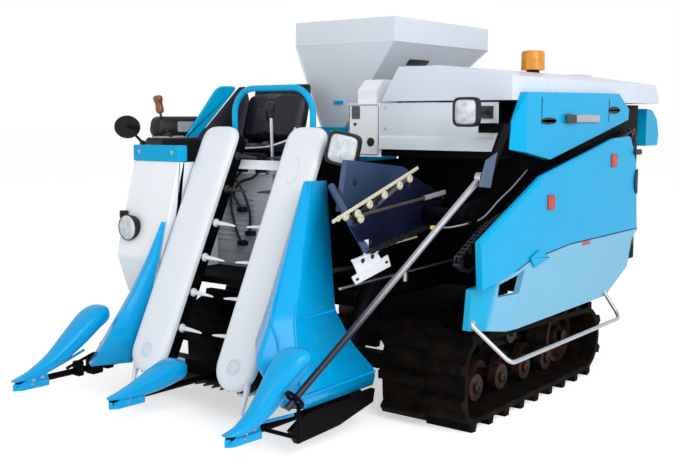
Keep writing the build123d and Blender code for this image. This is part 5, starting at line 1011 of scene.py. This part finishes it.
def along_line(line, pitch, margin):
    """Points a pitch apart along a line, with the unit step of the line at each."""
    step = np.linalg.norm(np.diff(line, axis=0), axis=1)
    way = np.concatenate([[0], np.cumsum(step)])
    at = np.arange(margin, way[-1] - margin, pitch)
    places = np.stack([np.interp(at, way, line[:, 0]), np.interp(at, way, line[:, 1])], axis=1)
    after = np.stack([np.interp(at + 0.004, way, line[:, 0]), np.interp(at + 0.004, way, line[:, 1])], axis=1)
    run = after - places
    return places, run / np.linalg.norm(run, axis=1)[:, None]


def frames_along(run):
    """Frames whose first axis follows the line, second is +y and third points off the line."""
    first = np.stack([run[:, 0], np.zeros(len(run)), run[:, 1]], axis=1)
    second = np.broadcast_to([0.0, 1.0, 0.0], first.shape)
    return np.stack([first, second, np.cross(first, second)], axis=1)


def spots_along(line, y, margin):
    """Places a chain pitch apart along a line at one y, and their frames."""
    places, run = along_line(line, pitch, margin)
    return np.column_stack([places[:, 0], np.full(len(places), y), places[:, 1]]), frames_along(run)


def links_at(spots, frames):
    """Outer and inner links by turns, with a roller at each."""
    return joined(repeated(outer_link, spots[::2], frames[::2]),
                  repeated(inner_link, spots[1::2], frames[1::2]), repeated(roller, spots, frames))


pitch, chain_y = 0.0254, 0.738
link_line = circle(1.0, 16) * (0.017, 0.0085)
outer_link = joined(slab(link_line, 0.0105, 0.0135, 1, 0.0008), slab(link_line, -0.0135, -0.0105, 1, 0.0008))
inner_link = joined(slab(link_line * 0.94, 0.0070, 0.0100, 1, 0.0008),
                    slab(link_line * 0.94, -0.0100, -0.0070, 1, 0.0008))
roller = turned([(0.0065, -0.0155), (0.0065, 0.0155)], (0.0127, 0, 0), (0, 1, 0), 10)
loop_spots, loop_frames = spots_along(np.vstack([chain_loop, chain_loop[:1]]), chain_y, 0.002)
put("chain_links", links_at(loop_spots - loop_frames[:, 2] * 0.006, loop_frames), "chain_steel",
    stands_for="feed_chain", weld=False)
finger_line = np.array([(-0.013, 0.004), (0.013, 0.004), (0.012, 0.014), (0.004, 0.024), (-0.006, 0.033),
                        (-0.010, 0.031), (-0.004, 0.02), (-0.012, 0.013)])
hook = slab(finger_line, -0.0035, 0.0035, 1, 0.001)
hook_spots, hook_frames = (rows[::3] for rows in spots_along(chain_line, chain_y, 0.02))
hooks = joined(repeated(hook, hook_spots + (0, 0.012, 0), hook_frames),
               repeated(hook, hook_spots - (0, 0.012, 0), hook_frames))
put("chain_hooks", hooks, "chain_steel", weld=False)


# Rubber tracks: caps on the axle ends of the rollers and of the two end wheels

hub_caps = []
cap_y, roller_z, roller_cap = 0.6655, 0.1123, 0.024
axle_ends = [(x, roller_z, roller_cap) for x in (0.600, 0.375, 0.150, -0.075, -0.300)]
axle_ends += [(-0.478, 0.1863, 0.034), (0.553, 0.252, 0.04)]
for side in (-1, 1):
    for x, z, radius in axle_ends:
        hub_caps.append(turned([(radius, 0.0), (radius, 0.006), (radius * 0.8, 0.010),
                                (radius * 0.3, 0.011), (radius * 0.28, 0.016), (0.001, 0.0165)],
                               (x, side * cap_y, z), (0, side, 0), 18))
put("roller_caps", joined(*hub_caps), "wheel_iron")


# Conveyor: star wheels, beads and bar, brown rail, guide's bracket, lower chain and link rod

bar_a, bar_b = np.array([1.122, 0.462, 0.879]), np.array([0.545, 0.462, 1.056])
star_front, star_rear = np.array([0.915, 0.417, 0.878]), np.array([0.560, 0.417, 0.994])
star_turn = np.linspace(0, 2 * np.pi, 60, endpoint=False)
star_line = circle(1.0, 60) * (0.029 + 0.006 * np.cos(6 * star_turn))[:, None]
star = slab(star_line, -0.005, 0.005, 1, 0.002)
star_places = star_front + (star_rear - star_front) * np.linspace(0, 1, 6)[:, None]
put("star_wheels", repeated(star, star_places, np.eye(3)), "dark_rubber", "header", "star_wheels", smooth=50)
bead_spots = np.array([(1.04, 0.458, 0.893), (0.962, 0.458, 0.897), (0.943, 0.458, 0.876),
                       (0.884, 0.458, 0.928), (0.782, 0.458, 0.958), (0.675, 0.458, 0.990),
                       (0.602, 0.458, 1.014)])
bead = turned([(0.009, -0.004), (0.016, -0.002), (0.018, 0.003), (0.016, 0.008), (0.010, 0.010),
               (0.007, 0.008), (0.006, 0.002)], (0, 0, 0), (0, 1, 0), 22)
rail_profile = rounded(rectangle(-0.004, -0.007, 0.004, 0.007), 0.003, 4)
put("rake_beads", repeated(bead, bead_spots), "cream_moulding", "header", smooth=50)
put("rake_bar", joined(carried(rail_profile, [bar_a, (bar_a + bar_b) / 2, bar_b]),
                       hex_heads([bar_a + (-0.03, 0.004, 0.01)], (0, 1, 0))), "cream_moulding", "header",
    smooth=50)
rail = carried(rail_profile * 0.9, [(0.937, 0.4605, 0.890), (0.7, 0.4605, 0.910), (0.487, 0.4605, 0.927)])
put("rail_bar", rail, "brown_rail", "header", smooth=50)
put("rail_handle", carried(rail_profile * 1.5,
                           [(0.487, 0.4625, 0.927), (0.40, 0.4625, 0.935), (0.33, 0.4625, 0.942)]),
    "grey_moulding", "header", smooth=50)
plate_bolts = hex_heads([(0.735, 0.2765, 1.0)], (0, 1, 0), 0.010, 0.007)
lower_bolts = hex_heads([(x, 0.4565, z) for x,
                         z in ((0.60, 0.985), (0.34, 0.92), (0.45, 0.84), (0.87, 0.775))], (0, 1, 0), 0.006,
                        0.004)
put("conveyor_bolts", joined(plate_bolts, lower_bolts), "dark_steel", "header")
guide_tube = tube([(0.815, 0.215, 0.985), (0.87, 0.345, 0.865), (0.920, 0.470, 0.752)], 0.016, 18)
put("guide_tube", guide_tube, "slate_paint", "header", smooth=50)
boxed = joined(slab([(1.0, 0.721), (0.841, 0.742), (0.792, 0.689), (0.961, 0.662)], 0.4565, 0.461, 1, 0.001),
               slab([(1.0, 0.7215), (0.841, 0.7425), (0.841, 0.736), (1.0, 0.715)], 0.4565, 0.475, 1, 0.001),
               slab([(1.005, 0.656), (0.766, 0.715), (0.744, 0.667), (0.979, 0.622)], 0.461, 0.467, 1, 0.001),
               slab(rectangle(0.885, 0.70, 0.912, 0.79), 0.4505, 0.4575, 1, 0.001))
put("guide_bracket", boxed, "white_paint", "header")
slots = [crowned(circle(1.0, 60) * (0.011, 0.006), [(0, 0.0), (0.001, 0.0008)], (x, 0.4672, z),
                 (1, 0, 0), (0, 0, 1), (0, 1, 0)) for x, z in ((0.972, 0.643), (0.775, 0.687))]
put("bracket_slots", joined(*slots), "dark_plastic", "header")
bolts = hex_heads([(0.93, 0.461, 0.712), (0.865, 0.461, 0.721)], (0, 1, 0), 0.008, 0.006)
put("bracket_bolts", bolts, "dark_steel", "header")
low_line = np.array([(0.90, 0.742), (0.68, 0.776), (0.45, 0.807), (0.42, 0.83)])
put("raking_chain", links_at(*spots_along(low_line, 0.470, 0.006)), "chain_steel", "header", weld=False)
put("raking_guide", carried(rail_profile * 0.6,
                            [(0.76, 0.464, 0.755), (0.66, 0.464, 0.762), (0.55, 0.464, 0.768)]),
    "cream_moulding", "header", smooth=50)
link_rod = joined(tube([(1.05, 0.44, 0.613), (0.65, 0.44, 0.621), (0.222, 0.44, 0.629)], 0.005, 10),
                  tube([(0.600, 0.44, 0.584), (0.600, 0.44, 0.640)], 0.012, 14, up=(1, 0, 0)))
put("link_rod", link_rod, "bright_steel", smooth=60)

# Pole bracket's sleeve and the lead with its plug, clipped along the thresher's edge

sleeve = slab([(0.549, 1.098), (0.46, 1.127), (0.513, 0.985), (0.602, 0.994)], 0.7831, 0.790, 1, 0.002)
put("bracket_sleeve", sleeve, "slate_paint")
lead = through([(0.692, 0.640, 0.832), (0.64, 0.640, 0.827), (0.58, 0.650, 0.824), (0.51, 0.688, 0.836),
                (0.40, 0.695, 0.852), (0.27, 0.700, 0.918), (0.16, 0.700, 0.963), (0.02, 0.700, 1.034)], 60)
put("clipped_lead", tube(lead, 0.0035, 8), "grey_moulding", smooth=60)
plug = turned([(0.004, 0.0), (0.008, 0.003), (0.009, 0.024), (0.006, 0.03), (0.002, 0.031)],
              (0.688, 0.640, 0.832), (1, 0.0, 0.05), 16)
put("lead_plug", plug, "yellow_plug", smooth=50)
put("lead_clips", block((0.500, 0.678, 0.828), (0.518, 0.697, 0.844), 0.002), "dark_plastic")

# A thin plate with three ridges between the left track and the chassis, and a black sheet behind the conveyor
# as painted shade

guard_outline = rounded([(0.76, 0.30), (0.78, 0.50), (0.62, 0.74), (-0.30, 0.74), (-0.42, 0.60),
                         (-0.42, 0.36)], 0.04, 6)
put("inner_track_guard", slab(guard_outline, 0.300, 0.304, 1, 0.001), "black_paint")
swages = [tube([(0.50, 0.304, z), (0.1, 0.304, z), (-0.34, 0.304, z)], 0.006, 8) for z in (0.42, 0.50, 0.58)]
put("guard_swages", joined(*swages), "black_paint", smooth=60)
# A black sheet behind the conveyor: painted shade of the machine's inside.
shade_sheet_behind_conveyor = slab(rounded([(0.76, 0.62), (0.76, 1.07), (0.16, 1.075), (0.16, 0.60)], 0.03, 5), 0.120, 0.1225,
               1, 0.001)
put("conveyor_painted_shadow_sheet", shade_sheet_behind_conveyor, "black_paint")


# Floor, world and lamps

def seen_strength(tree, lit, seen):
    """A strength that is one value for camera, glossy and glass rays and another for the light they carry."""
    path = tree.nodes.new("ShaderNodeLightPath")
    most = add_node(tree, "ShaderNodeMath", operation="MAXIMUM")
    any_ray = add_node(tree, "ShaderNodeMath", operation="MAXIMUM")
    tree.links.new(path.outputs["Is Camera Ray"], most.inputs[0])
    tree.links.new(path.outputs["Is Glossy Ray"], most.inputs[1])
    tree.links.new(most.outputs[0], any_ray.inputs[0])
    tree.links.new(path.outputs["Is Transmission Ray"], any_ray.inputs[1])
    strength = add_node(tree, "ShaderNodeMapRange", [("To Min", lit), ("To Max", seen)])
    tree.links.new(any_ray.outputs[0], strength.inputs["Value"])
    return strength.outputs["Result"]


ambient = 0.52
floor_mesh = bpy.data.meshes.new("floor")
floor_half = 60.0
floor_mesh.from_pydata([(floor_half * x, floor_half * y, 0) for x,
                        y in ((-1, -1), (1, -1), (1, 1), (-1, 1))], [], [(0, 1, 2, 3)])
floor = bpy.data.objects.new("floor", floor_mesh)
bpy.context.scene.collection.objects.link(floor)
floor_paint = bpy.data.materials.new("pale floor")
floor_paint.use_nodes = True
floor_tree = floor_paint.node_tree
floor_shader = floor_tree.nodes["Principled BSDF"]
floor_shader.inputs["Base Color"].default_value = (0.9, 0.9, 0.9, 1)
floor_shader.inputs["Roughness"].default_value = 1.0
floor_shader.inputs["Specular IOR Level"].default_value = 0.0
floor_shader.inputs["Emission Color"].default_value = (1, 1, 1, 1)
floor_tree.links.new(seen_strength(floor_tree, 0.0, ambient), floor_shader.inputs["Emission Strength"])
floor_mesh.materials.append(floor_paint)

world = bpy.data.worlds.new("studio")
bpy.context.scene.world = world
world.use_nodes = True
sky = world.node_tree
backdrop = sky.nodes["Background"]
backdrop.inputs["Color"].default_value = (1, 1, 1, 1)
sky.links.new(seen_strength(sky, ambient, 1.0), backdrop.inputs["Strength"])


def lamp(name, place, aim, size, power):
    """A square area lamp at a place, turned towards a point."""
    data = bpy.data.lights.new(name, "AREA")
    data.shape = "SQUARE"
    data.size = size
    data.energy = power
    made = bpy.data.objects.new(name, data)
    bpy.context.scene.collection.objects.link(made)
    made.location = place
    run = np.array(aim, float) - np.array(place, float)
    made.rotation_euler = (math.acos(-run[2] / np.linalg.norm(run)), 0, math.atan2(-run[0], run[1]))


lamp("key light", (3.5, 5.5, 4.5), (0, 0, 0.8), 4.0, 270)
lamp("fill light", (6.0, -1.5, 1.8), (0, 0, 0.8), 3.5, 55)
lamp("side light", (1.2, 6.5, 1.0), (0, 0, 0.9), 3.5, 90)
